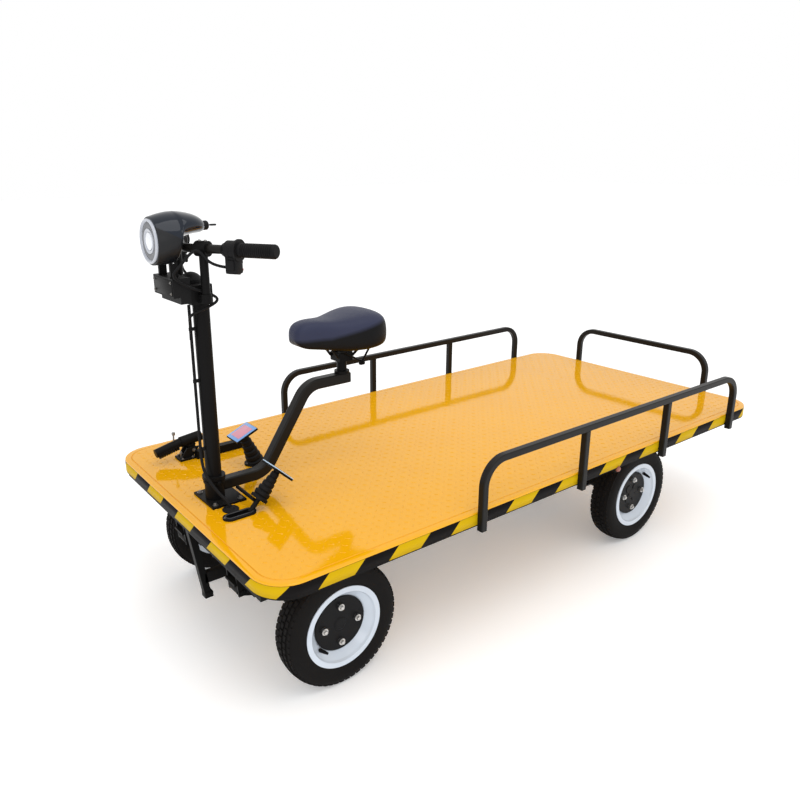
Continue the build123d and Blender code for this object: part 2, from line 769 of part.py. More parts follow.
def seat():
    """Bent seat arm from the sleeve, the post and the saddle on its clamp."""
    low_z, high_z = deck_top + arm_low, deck_top + arm_high
    points = [(column_x, 0, low_z), (column_x - arm_knee_low, 0, low_z),
              (column_x - arm_knee_high, 0, high_z), (column_x - arm_end, 0, high_z)]
    arm = bent_tube(points, arm_bend, RectangleRounded(arm_tube, arm_tube, arm_tube_round))
    save("seat_arm", arm - upright(column_x, 0, deck_top, column_top, sleeve_tube))

    post_x = column_x - seat_post_back
    post_low = high_z + arm_tube / 2
    post_top = post_low + seat_post_height
    post = upright(post_x, 0, post_low, post_top, seat_post)
    post += upright(post_x, 0, post_low, post_low + seat_flange_thick, seat_flange)
    save("seat_post", post)

    saddle_low = post_low + saddle_lift
    plate_low = saddle_low - saddle_plate_thick
    half_plate = saddle_plate_length / 2
    half_width = saddle_plate_width / 2
    clamp_top = post_top + seat_clamp_height
    carrier = block(post_x - half_plate, post_x + half_plate, -half_width, half_width, plate_low, saddle_low)
    carrier += block(post_x - seat_clamp / 2, post_x + seat_clamp / 2, -seat_clamp / 2, seat_clamp / 2,
                     post_top, clamp_top)
    carrier += upright(post_x, 0, post_top, plate_low, seat_post)
    wire_z = (post_top + clamp_top) / 2
    wire_y = saddle_wire_spacing / 2
    wire = bent_tube([(post_x + saddle_wire_front, wire_y, saddle_low), (post_x + seat_clamp / 2, wire_y, wire_z),
                      (post_x - seat_clamp / 2, wire_y, wire_z), (post_x - saddle_wire_rear, wire_y, saddle_low)],
                     saddle_wire_bend, Circle(saddle_wire / 2))
    over = block(post_x - saddle_length, post_x + saddle_length, -saddle_width, saddle_width, saddle_low, column_top)
    save("saddle_frame", carrier + wire + mirrored(wire) - over)

    # share of the length from the back, of half the width, and of the height at the bottom, side and top
    sections = ((0.00, 0.60, 0.16, 0.48, 0.74), (0.18, 1.00, 0.00, 0.65, 1.00), (0.60, 0.62, 0.02, 0.60, 0.88),
                (0.80, 0.40, 0.14, 0.62, 0.91), (0.94, 0.31, 0.24, 0.56, 0.76), (1.00, 0.18, 0.36, 0.48, 0.60))
    faces = []
    for along, wide, bottom, side, top in sections:
        half = wide * saddle_width / 2
        low, mid, high = (saddle_low + share * saddle_height for share in (bottom, side, top))
        edges = [Line((-half, low), (half, low)), Line((half, low), (half, mid)),
                 ThreePointArc((half, mid), (0, high), (-half, mid)), Line((-half, mid), (-half, low))]
        place = Plane((post_x - saddle_back + along * saddle_length, 0, 0), x_dir=(0, 1, 0), z_dir=(1, 0, 0))
        faces += [place * make_face(edges)]
    save("saddle", loft(faces, ruled=True))


def bellows(base, tip, base_radius, tip_radius):
    """A ribbed rubber boot, narrowing from its base to its tip."""
    run = Vector(*tip) - Vector(*base)
    pitch = run.length / boot_ribs
    points = [(0, 0)]
    for rib in range(boot_ribs):
        radius = base_radius + (tip_radius - base_radius) * rib / (boot_ribs - 1)
        points += [(radius, rib * pitch), (radius, (rib + 0.55) * pitch), (0.8 * radius, (rib + 0.75) * pitch)]
    points += [(0.8 * tip_radius, run.length), (0, run.length)]
    boot = revolve(make_face(Polyline(*points, close=True)), Axis.Y)
    place = Plane(Vector(*base), x_dir=(0, 1, 0), z_dir=run)
    return place * Rot(90, 0, 0) * boot


def pedals():
    """Two foot pedals: a tread plate on a booted stem out of the deck."""
    # name, ground plate setback, y, length and width, stem foot setback, stem run forward and up, share of the
    # stem left bare, tread pitch, length and width, boot radius at the base and at the tip
    table = (("left", 7.0, 132.0, 96.0, 40.0, 42.0, -84.0, 95.0, 0.28, 43.0, 71.0, 70.0, 25.0, 12.0),
             ("right", 211.0, -152.0, 72.0, 58.0, 211.0, 39.0, 107.0, 0.00, -23.0, 77.0, 70.0, 27.0, 14.0))
    base_z = deck_top + pedal_plate_thick
    for name, setback, y, length, width, foot, run_x, run_z, bare, pitch, long, wide, base, tip in table:
        x = column_x - setback
        foot_at = Vector(column_x - foot, y, base_z)
        top = Vector(column_x - foot + run_x, y, deck_top + run_z)
        boot_at = foot_at + (top - foot_at) * bare
        below = block(x - length, x + length, y - length, y + length, 0, base_z)
        ground = extrude(Pos(x, y, deck_top) * SlotOverall(length, width), pedal_plate_thick)
        tread = Pos(top) * Rot(0, -pitch, 0) * Pos(0, 0, tread_thick / 2) * Box(long, wide, tread_thick)
        pieces = [ground, bellows(tuple(boot_at), tuple(top), base, tip) - below - tread]
        if bare > 0:
            below_foot = foot_at - (top - foot_at) * bare
            pieces += [between(tuple(below_foot), tuple(boot_at), pedal_stem) - below]
        save(f"{name}_pedal_boot", *pieces)
        save(f"{name}_pedal", tread)


def hand_brake():
    """A parking brake lever on its bracket, with its guide rail on the right of the deck."""
    base_x = column_x - brake_setback
    low = deck_top + brake_plate_thick
    head = low + cheek_height
    rear = base_x - brake_plate_length / 2
    half_wide = brake_plate_width / 2
    half_foot = cheek_foot / 2
    half_head = cheek_head / 2
    head_x = base_x - cheek_lean
    bracket = block(rear, rear + brake_plate_length, brake_y - half_wide, brake_y + half_wide, deck_top, low)
    cheek = side_profile([(base_x - half_foot, low), (base_x + half_foot, low),
                          (head_x + half_head, head), (head_x - half_head, head)], cheek_thick / 2)
    for side in (-1, 1):
        bracket += Pos(0, brake_y + side * (cheek_spacing + cheek_thick) / 2, 0) * cheek
    rail_y = brake_y + brake_rail_offset
    half_rail = brake_rail_width / 2
    rail = block(rear - brake_rail_length, rear, rail_y - half_rail, rail_y + half_rail,
                 deck_top, deck_top + brake_rail_height)
    save("brake_bracket", bracket, rail)

    half = cheek_spacing / 2 - seat_gap
    sleeve_z = head + cheek_clear + brake_sleeve / 2
    half_sleeve = brake_sleeve_length / 2
    sleeve_front = (head_x + half_sleeve, brake_y, sleeve_z)
    sleeve_rear = (head_x - half_sleeve, brake_y, sleeve_z + brake_sleeve_fall)
    grip_end = (head_x + half_sleeve + brake_grip_length, brake_y, sleeve_z - brake_grip_fall)
    handle = block(head_x - half_head / 2, head_x + half_head / 2, brake_y - half, brake_y + half,
                   low + cheek_height / 2, sleeve_z)
    handle += between(sleeve_rear, sleeve_front, brake_sleeve)
    handle += between(sleeve_front, grip_end, brake_grip)
    save("brake_lever", handle)


def leads():
    """The lead down the column, the lead from its foot into the deck, and its grommet."""
    lead_x = column_x + column_tube / 2 + lead_gap + lead / 2
    lead_foot = collar_top + 2 * joint_gap
    save("column_cable", upright(lead_x, 0, lead_foot, column_top - head_collar_height, lead))

    grommet_x = column_x - grommet_setback
    grommet_top = deck_top + grommet_height
    seal = upright(grommet_x, grommet_y, deck_top, grommet_top, grommet)
    save("deck_grommet", seal)
    turn = collar / 2 + lead_gap + lead / 2
    top = (column_x + turn * sin(pi / 4), turn * cos(pi / 4), collar_top)
    middle = ((grommet_x + top[0]) / 2, 0.7 * grommet_y, sleeve_base + sleeve_height / 2)
    path = [(grommet_x, grommet_y, deck_top + lead / 2), middle, top]
    save("deck_cable", bent_tube(path, lead_bend, Circle(lead / 2)) - seal)


def side_markers():
    """A small marker lamp under the skirt above each rear wheel."""
    x = rear_axle_x + marker_from_axle
    marker = block(x - marker_length / 2, x + marker_length / 2, deck_side - marker_thick, deck_side,
                   deck_under - skirt_height - marker_height, deck_under - skirt_height)
    save("side_markers", marker, mirrored(marker))


deck_plates()
deck_skirt()
frame()
low_rails()
wheels()
front_axle()
steering_linkage()
tow_post()
springs()
rear_drive()
battery_box()
steering_column()
handlebar()
head()
seat()
pedals()
hand_brake()
leads()
side_markers()

boxes = [piece.bounding_box() for piece in parts.values()]
shift = Pos(-(min(box.min.X for box in boxes) + max(box.max.X for box in boxes)) / 2, 0, 0)
os.makedirs("parts", exist_ok=True)
for name, solid in parts.items():
    export_step(shift * solid, f"parts/{name}.step")
print("deck centre at x =", round(shift.position.X, 3))
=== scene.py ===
# %% [markdown]
# # An electric flatbed cart
# The cart is a low yellow plate deck on four small road wheels. The driver sits on a saddle on a
# bent arm and steers with a handlebar on an upright column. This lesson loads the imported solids
# as a fixed frame, gives each its finish, and adds the pieces that the solids leave plain: tread,
# bolts, striped tape, grips, leads and the saddle's cover.

# %% Load the frame
from math import atan2, cos, pi, radians, sin

import bmesh
import bpy
from mathutils import Matrix, Vector


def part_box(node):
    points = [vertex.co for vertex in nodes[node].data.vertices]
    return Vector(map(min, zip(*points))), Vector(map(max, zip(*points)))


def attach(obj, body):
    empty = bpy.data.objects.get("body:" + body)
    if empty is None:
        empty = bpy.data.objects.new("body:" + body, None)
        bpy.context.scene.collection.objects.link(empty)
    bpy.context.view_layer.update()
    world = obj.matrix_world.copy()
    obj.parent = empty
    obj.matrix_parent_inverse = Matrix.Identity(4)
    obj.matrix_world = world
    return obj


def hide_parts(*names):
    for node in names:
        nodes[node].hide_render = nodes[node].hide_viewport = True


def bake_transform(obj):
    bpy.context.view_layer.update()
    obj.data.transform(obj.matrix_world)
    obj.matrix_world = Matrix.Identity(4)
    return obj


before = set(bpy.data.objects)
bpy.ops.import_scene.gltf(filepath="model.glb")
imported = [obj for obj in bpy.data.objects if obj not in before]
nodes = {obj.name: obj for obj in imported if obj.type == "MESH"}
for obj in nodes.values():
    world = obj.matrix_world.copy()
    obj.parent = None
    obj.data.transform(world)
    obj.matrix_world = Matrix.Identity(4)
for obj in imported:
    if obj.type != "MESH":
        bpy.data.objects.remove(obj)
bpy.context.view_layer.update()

scene = bpy.context.scene

# %% [markdown]
# ## Camera and light
# The picture was taken from the front left, a little above the handlebar, with a wide lens, and
# the cart stands left of the middle. A camera could be swung by eye until it fits. Here it gets
# the place, turn and lens that a fit of the deck's corners and the wheels gave, and the frame's
# offset becomes a small lens shift. The light is a white room with two large soft panels, and the
# floor glows faintly so that the shadow on it stays pale.

# %% Camera
eye = Vector((1.6919, 1.7112, 1.3358))
yaw, pitch, roll = radians(235.091), radians(-17.279), radians(-1.054)
# the picture's width, and the fitted focal length and middle, in pixels
picture, focal_pixels, centre_x, centre_y = 800, 719.585, 341.737, 384.173
ahead = Vector((cos(pitch) * cos(yaw), cos(pitch) * sin(yaw), sin(pitch)))
level = ahead.cross(Vector((0, 0, 1))).normalized()
over = level.cross(ahead)
side = level * cos(roll) + over * sin(roll)
above = over * cos(roll) - level * sin(roll)
camera_data = bpy.data.cameras.new("camera")
camera_data.sensor_width = 36.0
camera_data.lens = focal_pixels / picture * camera_data.sensor_width
camera_data.shift_x = (picture / 2 - centre_x) / picture
camera_data.shift_y = (centre_y - picture / 2) / picture
camera_data.clip_start = 0.05
camera = bpy.data.objects.new("camera", camera_data)
scene.collection.objects.link(camera)
turn = Matrix((side, above, -ahead)).transposed().to_4x4()
camera.matrix_world = Matrix.Translation(eye) @ turn
scene.camera = camera
print("camera lens", round(camera_data.lens, 2), "mm")

# %% Floor, sky and soft panels
def soft_panel(name, place, target, size, power):
    """A round area light at a place, turned to a target."""
    data = bpy.data.lights.new(name, "AREA")
    data.shape = "DISK"
    data.size = size
    data.energy = power
    lamp = bpy.data.objects.new(name, data)
    scene.collection.objects.link(lamp)
    aim = (Vector(target) - Vector(place)).to_track_quat("-Z", "Y")
    lamp.matrix_world = Matrix.Translation(place) @ aim.to_matrix().to_4x4()


world = bpy.data.worlds.new("pale room")
world.use_nodes = True
world.node_tree.nodes["Background"].inputs["Color"].default_value = (1.0, 1.0, 1.0, 1.0)
world.node_tree.nodes["Background"].inputs["Strength"].default_value = 1.0
scene.world = world
scene.view_settings.view_transform = "Standard"
soft_panel("panel_high", (0.6, 1.2, 3.4), (0, 0, 0.4), 2.6, 30)
soft_panel("panel_left", (2.6, 2.6, 1.8), (0.2, 0, 0.4), 1.8, 16)

bm = bmesh.new()
bmesh.ops.create_grid(bm, x_segments=1, y_segments=1, size=30)
floor_mesh = bpy.data.meshes.new("floor")
bm.to_mesh(floor_mesh)
bm.free()
floor = bpy.data.objects.new("floor", floor_mesh)
scene.collection.objects.link(floor)
floor_paint = bpy.data.materials.new("floor pale")
floor_paint.use_nodes = True
floor_shader = floor_paint.node_tree.nodes["Principled BSDF"]
floor_values = {"Base Color": (0.99, 0.99, 0.99, 1.0), "Roughness": 0.9, "Specular IOR Level": 0.1,
                "Emission Color": (1.0, 1.0, 1.0, 1.0), "Emission Strength": 0.16}
for label, value in floor_values.items():
    floor_shader.inputs[label].default_value = value
floor_mesh.materials.append(floor_paint)

# %% [markdown]
# ## Shared effects
# Paint, rubber and steel on a used cart share a few effects: a fine ripple in the surface, a film
# of dust that settles on what faces up, and thin scuffs. Each could be rebuilt in every material.
# As node groups with named sockets they are built once, and a material only sets their values.
# A group gives masks and heights, and the shader itself stays in the material.

# %% Group helper
def effect(name, inputs, outputs):
    """An empty node group with float inputs (name, value) and float outputs, and its two end nodes."""
    tree = bpy.data.node_groups.new(name, "ShaderNodeTree")
    for label, value in inputs:
        socket = tree.interface.new_socket(label, in_out="INPUT", socket_type="NodeSocketFloat")
        socket.default_value = value
    for label in outputs:
        tree.interface.new_socket(label, in_out="OUTPUT", socket_type="NodeSocketFloat")
    return tree, tree.nodes.new("NodeGroupInput"), tree.nodes.new("NodeGroupOutput")


def math_node(tree, operation, first, second=None):
    """A math node fed by sockets or numbers."""
    node = tree.nodes.new("ShaderNodeMath")
    node.operation = operation
    for slot, value in enumerate((first, second)):
        if value is None:
            continue
        if hasattr(value, "is_output"):
            tree.links.new(value, node.inputs[slot])
        else:
            node.inputs[slot].default_value = value
    return node.outputs[0]


def object_noise(tree, scale, detail, stretch=(1, 1, 1)):
    """Noise on object coordinates, stretched along the axes; scale is a socket or a number."""
    place = tree.nodes.new("ShaderNodeTexCoord")
    mapping = tree.nodes.new("ShaderNodeMapping")
    mapping.inputs["Scale"].default_value = stretch
    noise = tree.nodes.new("ShaderNodeTexNoise")
    noise.inputs["Detail"].default_value = detail
    tree.links.new(place.outputs["Object"], mapping.inputs["Vector"])
    tree.links.new(mapping.outputs["Vector"], noise.inputs["Vector"])
    if hasattr(scale, "is_output"):
        tree.links.new(scale, noise.inputs["Scale"])
    else:
        noise.inputs["Scale"].default_value = scale
    return noise.outputs["Fac"]


print("helpers ready")

# %% Ripple, dust and scuff groups
ripple, ends, out = effect("surface ripple", [("Scale", 90.0), ("Fine", 0.35)], ["Height"])
coarse = object_noise(ripple, ends.outputs["Scale"], 2.0)
fine = object_noise(ripple, math_node(ripple, "MULTIPLY", ends.outputs["Scale"], 7.0), 3.0)
fine = math_node(ripple, "MULTIPLY", fine, ends.outputs["Fine"])
ripple.links.new(math_node(ripple, "ADD", coarse, fine), out.inputs["Height"])

dust, ends, out = effect("settled dust", [("Amount", 0.3), ("Scale", 9.0)], ["Mask"])
facing = dust.nodes.new("ShaderNodeNewGeometry")
split = dust.nodes.new("ShaderNodeSeparateXYZ")
dust.links.new(facing.outputs["Normal"], split.inputs["Vector"])
upward = math_node(dust, "MAXIMUM", split.outputs["Z"], 0.0)
cloud = math_node(dust, "MULTIPLY", object_noise(dust, ends.outputs["Scale"], 6.0), ends.outputs["Amount"])
dust.links.new(math_node(dust, "MULTIPLY", upward, cloud), out.inputs["Mask"])

scuffs, ends, out = effect("thin scuffs", [("Amount", 0.3), ("Scale", 30.0)], ["Mask"])
along = object_noise(scuffs, ends.outputs["Scale"], 4.0, (0.25, 3.0, 3.0))
across = object_noise(scuffs, ends.outputs["Scale"], 4.0, (3.0, 0.25, 2.0))
streaks = math_node(scuffs, "MAXIMUM", along, across)
rare = math_node(scuffs, "MULTIPLY", math_node(scuffs, "SUBTRACT", streaks, 0.62), 6.0)
rare = math_node(scuffs, "MINIMUM", math_node(scuffs, "MAXIMUM", rare, 0.0), 1.0)
scuffs.links.new(math_node(scuffs, "MULTIPLY", rare, ends.outputs["Amount"]), out.inputs["Mask"])
print("groups:", [group.name for group in bpy.data.node_groups])

# %% [markdown]
# ## Finishes
# Every finish here is one Principled shader. Its colour drifts between two tones, dust lightens
# what faces up, scuffs make the gloss uneven, and a ripple feeds the bump. A finish could be one
# flat colour, but under soft light it is these small drifts that tell paint from rubber.

# %% Finish builder
def place_group(tree, group, **values):
    node = tree.nodes.new("ShaderNodeGroup")
    node.node_tree = group
    for label, value in values.items():
        node.inputs[label].default_value = value
    return node


def mix_colour(tree, factor, first, second):
    """A colour mix; the colours are sockets or triples."""
    node = tree.nodes.new("ShaderNodeMix")
    node.data_type = "RGBA"
    tree.links.new(factor, node.inputs["Factor"])
    for label, value in (("A", first), ("B", second)):
        socket = [s for s in node.inputs if s.name == label and s.type == "RGBA"][0]
        if hasattr(value, "is_output"):
            tree.links.new(value, socket)
        else:
            socket.default_value = (*value, 1.0)
    return [s for s in node.outputs if s.type == "RGBA"][0]


def object_axes(tree):
    """The object's own x, y and z, as sockets."""
    place = tree.nodes.new("ShaderNodeTexCoord")
    split = tree.nodes.new("ShaderNodeSeparateXYZ")
    tree.links.new(place.outputs["Object"], split.inputs["Vector"])
    return split.outputs


def tint(tree, mask, colour):
    """Mixes a colour into a finish where a mask is on."""
    base = tree.nodes["Principled BSDF"].inputs["Base Color"]
    tree.links.new(mix_colour(tree, mask, base.links[0].from_socket, colour), base)


def finish(name, tone, drift, rough, uneven=0.12, metal=0.0, coat=0.0, ripple_scale=90.0, ripple_fine=0.3,
           bump=0.06, dusty=0.1, scuffed=0.3, dust_tone=(0.20, 0.18, 0.16), shine=0.5):
    """A procedural finish: two tones, dust, scuffs in the gloss, and a rippled surface."""
    material = bpy.data.materials.new(name)
    material.use_nodes = True
    tree = material.node_tree
    shader = tree.nodes["Principled BSDF"]
    patches = object_noise(tree, 6.0, 5.0)
    colour = mix_colour(tree, patches, tone, drift)
    film = place_group(tree, dust, Amount=dusty)
    colour = mix_colour(tree, film.outputs["Mask"], colour, dust_tone)
    tree.links.new(colour, shader.inputs["Base Color"])
    marks = place_group(tree, scuffs, Amount=scuffed)
    gloss = math_node(tree, "MULTIPLY_ADD", marks.outputs["Mask"], uneven)
    gloss.node.inputs[2].default_value = rough
    gloss = math_node(tree, "ADD", gloss, math_node(tree, "MULTIPLY", film.outputs["Mask"], 0.5))
    tree.links.new(gloss, shader.inputs["Roughness"])
    levels = {"Metallic": metal, "Specular IOR Level": shine, "Coat Weight": coat, "Coat Roughness": 0.06}
    for label, value in levels.items():
        shader.inputs[label].default_value = value
    wave = place_group(tree, ripple, Scale=ripple_scale, Fine=ripple_fine)
    relief = tree.nodes.new("ShaderNodeBump")
    relief.inputs["Strength"].default_value = bump
    relief.inputs["Distance"].default_value = 0.002
    tree.links.new(wave.outputs["Height"], relief.inputs["Height"])
    tree.links.new(relief.outputs["Normal"], shader.inputs["Normal"])
    return material


deck_paint = finish("deck yellow paint", (0.80, 0.385, 0.003), (0.75, 0.345, 0.002), 0.07, uneven=0.1,
                    ripple_scale=26, bump=0.08, dusty=0.0, scuffed=0.25, shine=0.36)
rail_paint = finish("rail black paint", (0.006, 0.0055, 0.005), (0.010, 0.009, 0.008), 0.32,
                    ripple_scale=140, dusty=0.06, scuffed=0.5, shine=0.14)
frame_paint = finish("frame black paint", (0.004, 0.004, 0.004), (0.008, 0.0075, 0.007), 0.42,
                     ripple_scale=70, bump=0.12, dusty=0.08, shine=0.07)
column_paint = finish("column black paint", (0.004, 0.004, 0.0042), (0.007, 0.0066, 0.0066), 0.34,
                      ripple_scale=160, dusty=0.04, shine=0.06)
rim_paint = finish("rim white paint", (0.60, 0.66, 0.74), (0.52, 0.58, 0.66), 0.22, coat=0.2,
                   ripple_scale=60, dusty=0.08, dust_tone=(0.5, 0.46, 0.4))
hub_paint = finish("hub black paint", (0.004, 0.004, 0.0045), (0.007, 0.007, 0.0076), 0.36,
                   ripple_scale=220, bump=0.1, dusty=0.04, shine=0.1)
rubber = finish("tyre rubber", (0.006, 0.0055, 0.0055), (0.011, 0.010, 0.0095), 0.62, ripple_scale=300,
                ripple_fine=0.8, bump=0.18, dusty=0.12, dust_tone=(0.08, 0.07, 0.06), shine=0.05)
soft_rubber = finish("grip rubber", (0.004, 0.004, 0.0045), (0.008, 0.008, 0.0088), 0.55, ripple_scale=420,
                     bump=0.15, dusty=0.04, shine=0.1)
shell_matt = finish("housing black moulding", (0.0045, 0.0045, 0.005), (0.008, 0.008, 0.0084), 0.5,
                    ripple_scale=500, ripple_fine=0.8, bump=0.12, dusty=0.04, shine=0.12)
steel = finish("zinc plated steel", (0.50, 0.49, 0.47), (0.60, 0.59, 0.58), 0.3, metal=1.0,
               ripple_scale=240, dusty=0.1)
dull_steel = finish("dull steel", (0.20, 0.195, 0.19), (0.28, 0.27, 0.26), 0.42, metal=1.0,
                    ripple_scale=240, dusty=0.1)
alloy = finish("cast alloy", (0.32, 0.32, 0.33), (0.4, 0.4, 0.4), 0.48, metal=1.0, ripple_scale=190,
               ripple_fine=0.9, bump=0.3, dusty=0.2)
spring_paint = finish("spring dark paint", (0.005, 0.005, 0.0055), (0.010, 0.009, 0.0085), 0.5,
                      ripple_scale=110, bump=0.15, dusty=0.1, shine=0.08)
print("finishes:", len(bpy.data.materials))

# %% Dress the solids
dressing = {
    rail_paint: ["side_rails", "rear_rail", "seat_arm", "handlebar"],
    frame_paint: ["frame_channels", "frame_crossmembers", "front_axle", "rear_axle",
                  "battery_box", "deck_skirt", "brake_bracket"],
    column_paint: ["steering_column", "column_sleeve", "fork_crown", "bar_posts", "seat_post",
                   "saddle_frame", "brake_lever", "lamp_brackets", "left_pedal", "right_pedal"],
    spring_paint: ["front_springs", "rear_springs", "knuckle_left", "knuckle_right"],
    steel: ["tie_rod", "drag_link"],
    alloy: ["gear_case", "drive_motor"],
    shell_matt: ["control_box", "horn"],
    soft_rubber: ["left_pedal_boot", "right_pedal_boot"],
}
wheel_names = ("front_left", "front_right", "rear_left", "rear_right")
dressing[rim_paint] = [f"rim_{name}" for name in wheel_names]
dressing[hub_paint] = [f"hub_{name}" for name in wheel_names]


def dress(node, material):
    """Gives a solid one finish in place of the plain one it came with."""
    mesh = nodes[node].data
    mesh.materials.clear()
    mesh.materials.append(material)


for material, names in dressing.items():
    for node in names:
        dress(node, material)
bare = sorted(set(nodes) - {node for names in dressing.values() for node in names})
print("dressed", sum(len(names) for names in dressing.values()), "solids; pieces of their own:", bare)

# %% [markdown]
# ## Making a piece
# A new piece is modelled in a bmesh, in the cart's own frame, so its object can stay at the origin.
# One helper turns all faces outward, writes the mesh, shades it smooth up to a crease angle, and
# lets it ride on a body. The others spin an outline, raise a sheet, skin rings and soften edges.

# %% Piece helper
def make_piece(name, bm, body, material, crease=35.0, rides=True):
    """Writes a bmesh as a finished piece that rides on a body, or stays where it is."""
    bmesh.ops.recalc_face_normals(bm, faces=bm.faces)
    mesh = bpy.data.meshes.new(name)
    bm.to_mesh(mesh)
    bm.free()
    mesh.materials.append(material)
    mesh.shade_smooth()
    mesh.set_sharp_from_angle(angle=radians(crease))
    obj = bpy.data.objects.new(name, mesh)
    scene.collection.objects.link(obj)
    if rides:
        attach(obj, body)
    return obj


def lathe(bm, profile, axis, centre, steps=64, closed=False):
    """Spins a half outline, given as (along the axis, away from it), once round an axis."""
    axis = Vector(axis).normalized()
    out_way = axis.orthogonal().normalized()
    verts = [bm.verts.new(Vector(centre) + axis * far + out_way * radius) for far, radius in profile]
    pairs = list(zip(verts, verts[1:])) + ([(verts[-1], verts[0])] if closed else [])
    edges = [bm.edges.new(pair) for pair in pairs]
    bmesh.ops.spin(bm, geom=verts + edges, cent=centre, axis=axis, angle=2 * pi, steps=steps, use_merge=True)
    bmesh.ops.remove_doubles(bm, verts=bm.verts, dist=1e-6)


def box_middle(node):
    low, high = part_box(node)
    return (low + high) / 2


def raise_sheet(bm, height):
    """Draws a flat sheet up into a plate."""
    skin = bmesh.ops.extrude_face_region(bm, geom=bm.faces[:])
    raised = [item for item in skin["geom"] if isinstance(item, bmesh.types.BMVert)]
    bmesh.ops.translate(bm, verts=raised, vec=(0, 0, height))


def soften(bm, geom, offset, segments, affect="EDGES"):
    """Rounds edges or corners off."""
    bmesh.ops.bevel(bm, geom=geom, affect=affect, offset=offset, offset_type="OFFSET", segments=segments,
                    profile=0.5, material=-1)


def turned_to(way):
    """The turn that takes the z axis to a direction."""
    return Vector((0, 0, 1)).rotation_difference(Vector(way)).to_matrix().to_4x4()


def bridge_rings(bm, loops):
    """Skins a row of closed edge loops and caps both ends; returns the caps."""
    for first, second in zip(loops, loops[1:]):
        bmesh.ops.bridge_loops(bm, edges=first + second)
    return bmesh.ops.holes_fill(bm, edges=loops[0] + loops[-1], sides=0)["faces"]


def smooth_out(piece, levels):
    """Rounds a cage by subdivision."""
    smooth = piece.modifiers.new("round", "SUBSURF")
    smooth.levels = levels
    smooth.render_levels = levels


print("wheel centre", [round(v, 3) for v in box_middle("tyre_front_left")])

# %% [markdown]
# ## Tyres
# The tyres are narrow road tyres with a smooth side wall and rows of small blocks on the crown.
# The tread could be a bump on the plain ring, but its blocks show on the tyre's outline. So the
# carcass is spun a little below the solid's crown, and one block of each row is spun round it.

# %% Tyre
tyre_low, tyre_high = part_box("tyre_front_left")
tyre_radius = (tyre_high.z - tyre_low.z) / 2
carcass = [(-0.031, 0.1025), (-0.0335, 0.116), (-0.0372, 0.126), (-0.0386, 0.138), (-0.0384, 0.15),
           (-0.0362, 0.159), (-0.0322, 0.1652), (-0.026, 0.1685), (-0.014, 0.1702), (0.0, 0.1708)]
carcass = carcass + [(-far, radius) for far, radius in reversed(carcass[:-1])]
# each row of blocks: distance from the middle, width, and start as a share of one block
tread_rows = ((-0.0285, 0.0085, 0.0), (-0.0155, 0.0105, 0.5), (0.0, 0.011, 0.0), (0.0155, 0.0105, 0.5),
              (0.0285, 0.0085, 0.0))
tread_count = 58
block_tall, block_long = 0.008, 0.0142
crown_gap, crown_bend = 0.0004, 7.2


def repeat_round(bm, geom, centre, axis, count):
    """Copies some geometry evenly round an axis."""
    bmesh.ops.spin(bm, geom=geom, cent=centre, axis=axis, angle=2 * pi * (count - 1) / count,
                   steps=count - 1, use_duplicate=True)


def whole(verts):
    """The vertices given, with all edges and faces on them."""
    edges = {edge for vert in verts for edge in vert.link_edges}
    faces = {face for vert in verts for face in vert.link_faces}
    return list(verts) + list(edges) + list(faces)


def tyre_piece(name):
    centre = box_middle(f"tyre_{name}")
    bm = bmesh.new()
    lathe(bm, carcass, (0, 1, 0), centre, 96, closed=True)
    for across_y, width, start in tread_rows:
        crown = tyre_radius - crown_gap - crown_bend * across_y ** 2
        spot = Matrix.Translation(centre) @ Matrix.Rotation(2 * pi * start / tread_count, 4, "Y")
        spot = spot @ Matrix.Translation((crown - block_tall / 2, across_y, 0))
        spot = spot @ Matrix.Diagonal((block_tall, width, block_long, 1))
        cube = bmesh.ops.create_cube(bm, size=1.0, matrix=spot)
        repeat_round(bm, whole(cube["verts"]), centre, (0, 1, 0), tread_count)
    piece = make_piece(f"road_tyre_{name}", bm, f"wheel_{name}", rubber)
    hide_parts(f"tyre_{name}")
    return piece


for name in wheel_names:
    tyre = tyre_piece(name)
print("tyre faces:", len(tyre.data.polygons))

# %% [markdown]
# ## Wheel bolts, valves and hub relief
# Four plated bolts hold each wheel's black centre disc, and a short rubber valve stem sticks out of
# the white dish. The rear discs also carry a low raised cap with four lobes. A bolt is a washer, a
# six-sided head and a low dome, and one bolt is copied round the wheel's axis.

# %% Bolt, rod and block helpers, and the wheels' small parts
# washer, head and dome: radius at foot and top, foot and height in head widths, and sides
bolt_parts = ((0.85, 0.85, 0.0, 0.14, 20), (0.56, 0.52, 0.14, 0.5, 6), (0.4, 0.3, 0.62, 0.1, 12))


def add_bolt(bm, place, way, size):
    """A washer, a hexagon head and a dome of one bolt; size is the head's width."""
    seat = Matrix.Translation(place) @ turned_to(way)
    made = []
    for radius, taper, low, tall, sides in bolt_parts:
        spot = seat @ Matrix.Translation((0, 0, (low + tall / 2) * size))
        cone = bmesh.ops.create_cone(bm, cap_ends=True, segments=sides, radius1=radius * size,
                                     radius2=taper * size, depth=tall * size, matrix=spot)
        made += cone["verts"]
    return made


def bolt_piece(name, body, places, way, size, material=dull_steel):
    """One bolt at each place, as one piece."""
    bm = bmesh.new()
    for place in places:
        add_bolt(bm, place, way, size)
    make_piece(name, bm, body, material)


def add_rod(bm, start, end, radius, sides=16, tip=None):
    """A round bar between two points; tip is its radius at the far end."""
    run = Vector(end) - Vector(start)
    spot = Matrix.Translation((Vector(start) + Vector(end)) / 2) @ turned_to(run)
    far_radius = radius if tip is None else tip
    cone = bmesh.ops.create_cone(bm, cap_ends=True, segments=sides, radius1=radius, radius2=far_radius,
                                 depth=run.length, matrix=spot)
    return cone["verts"]


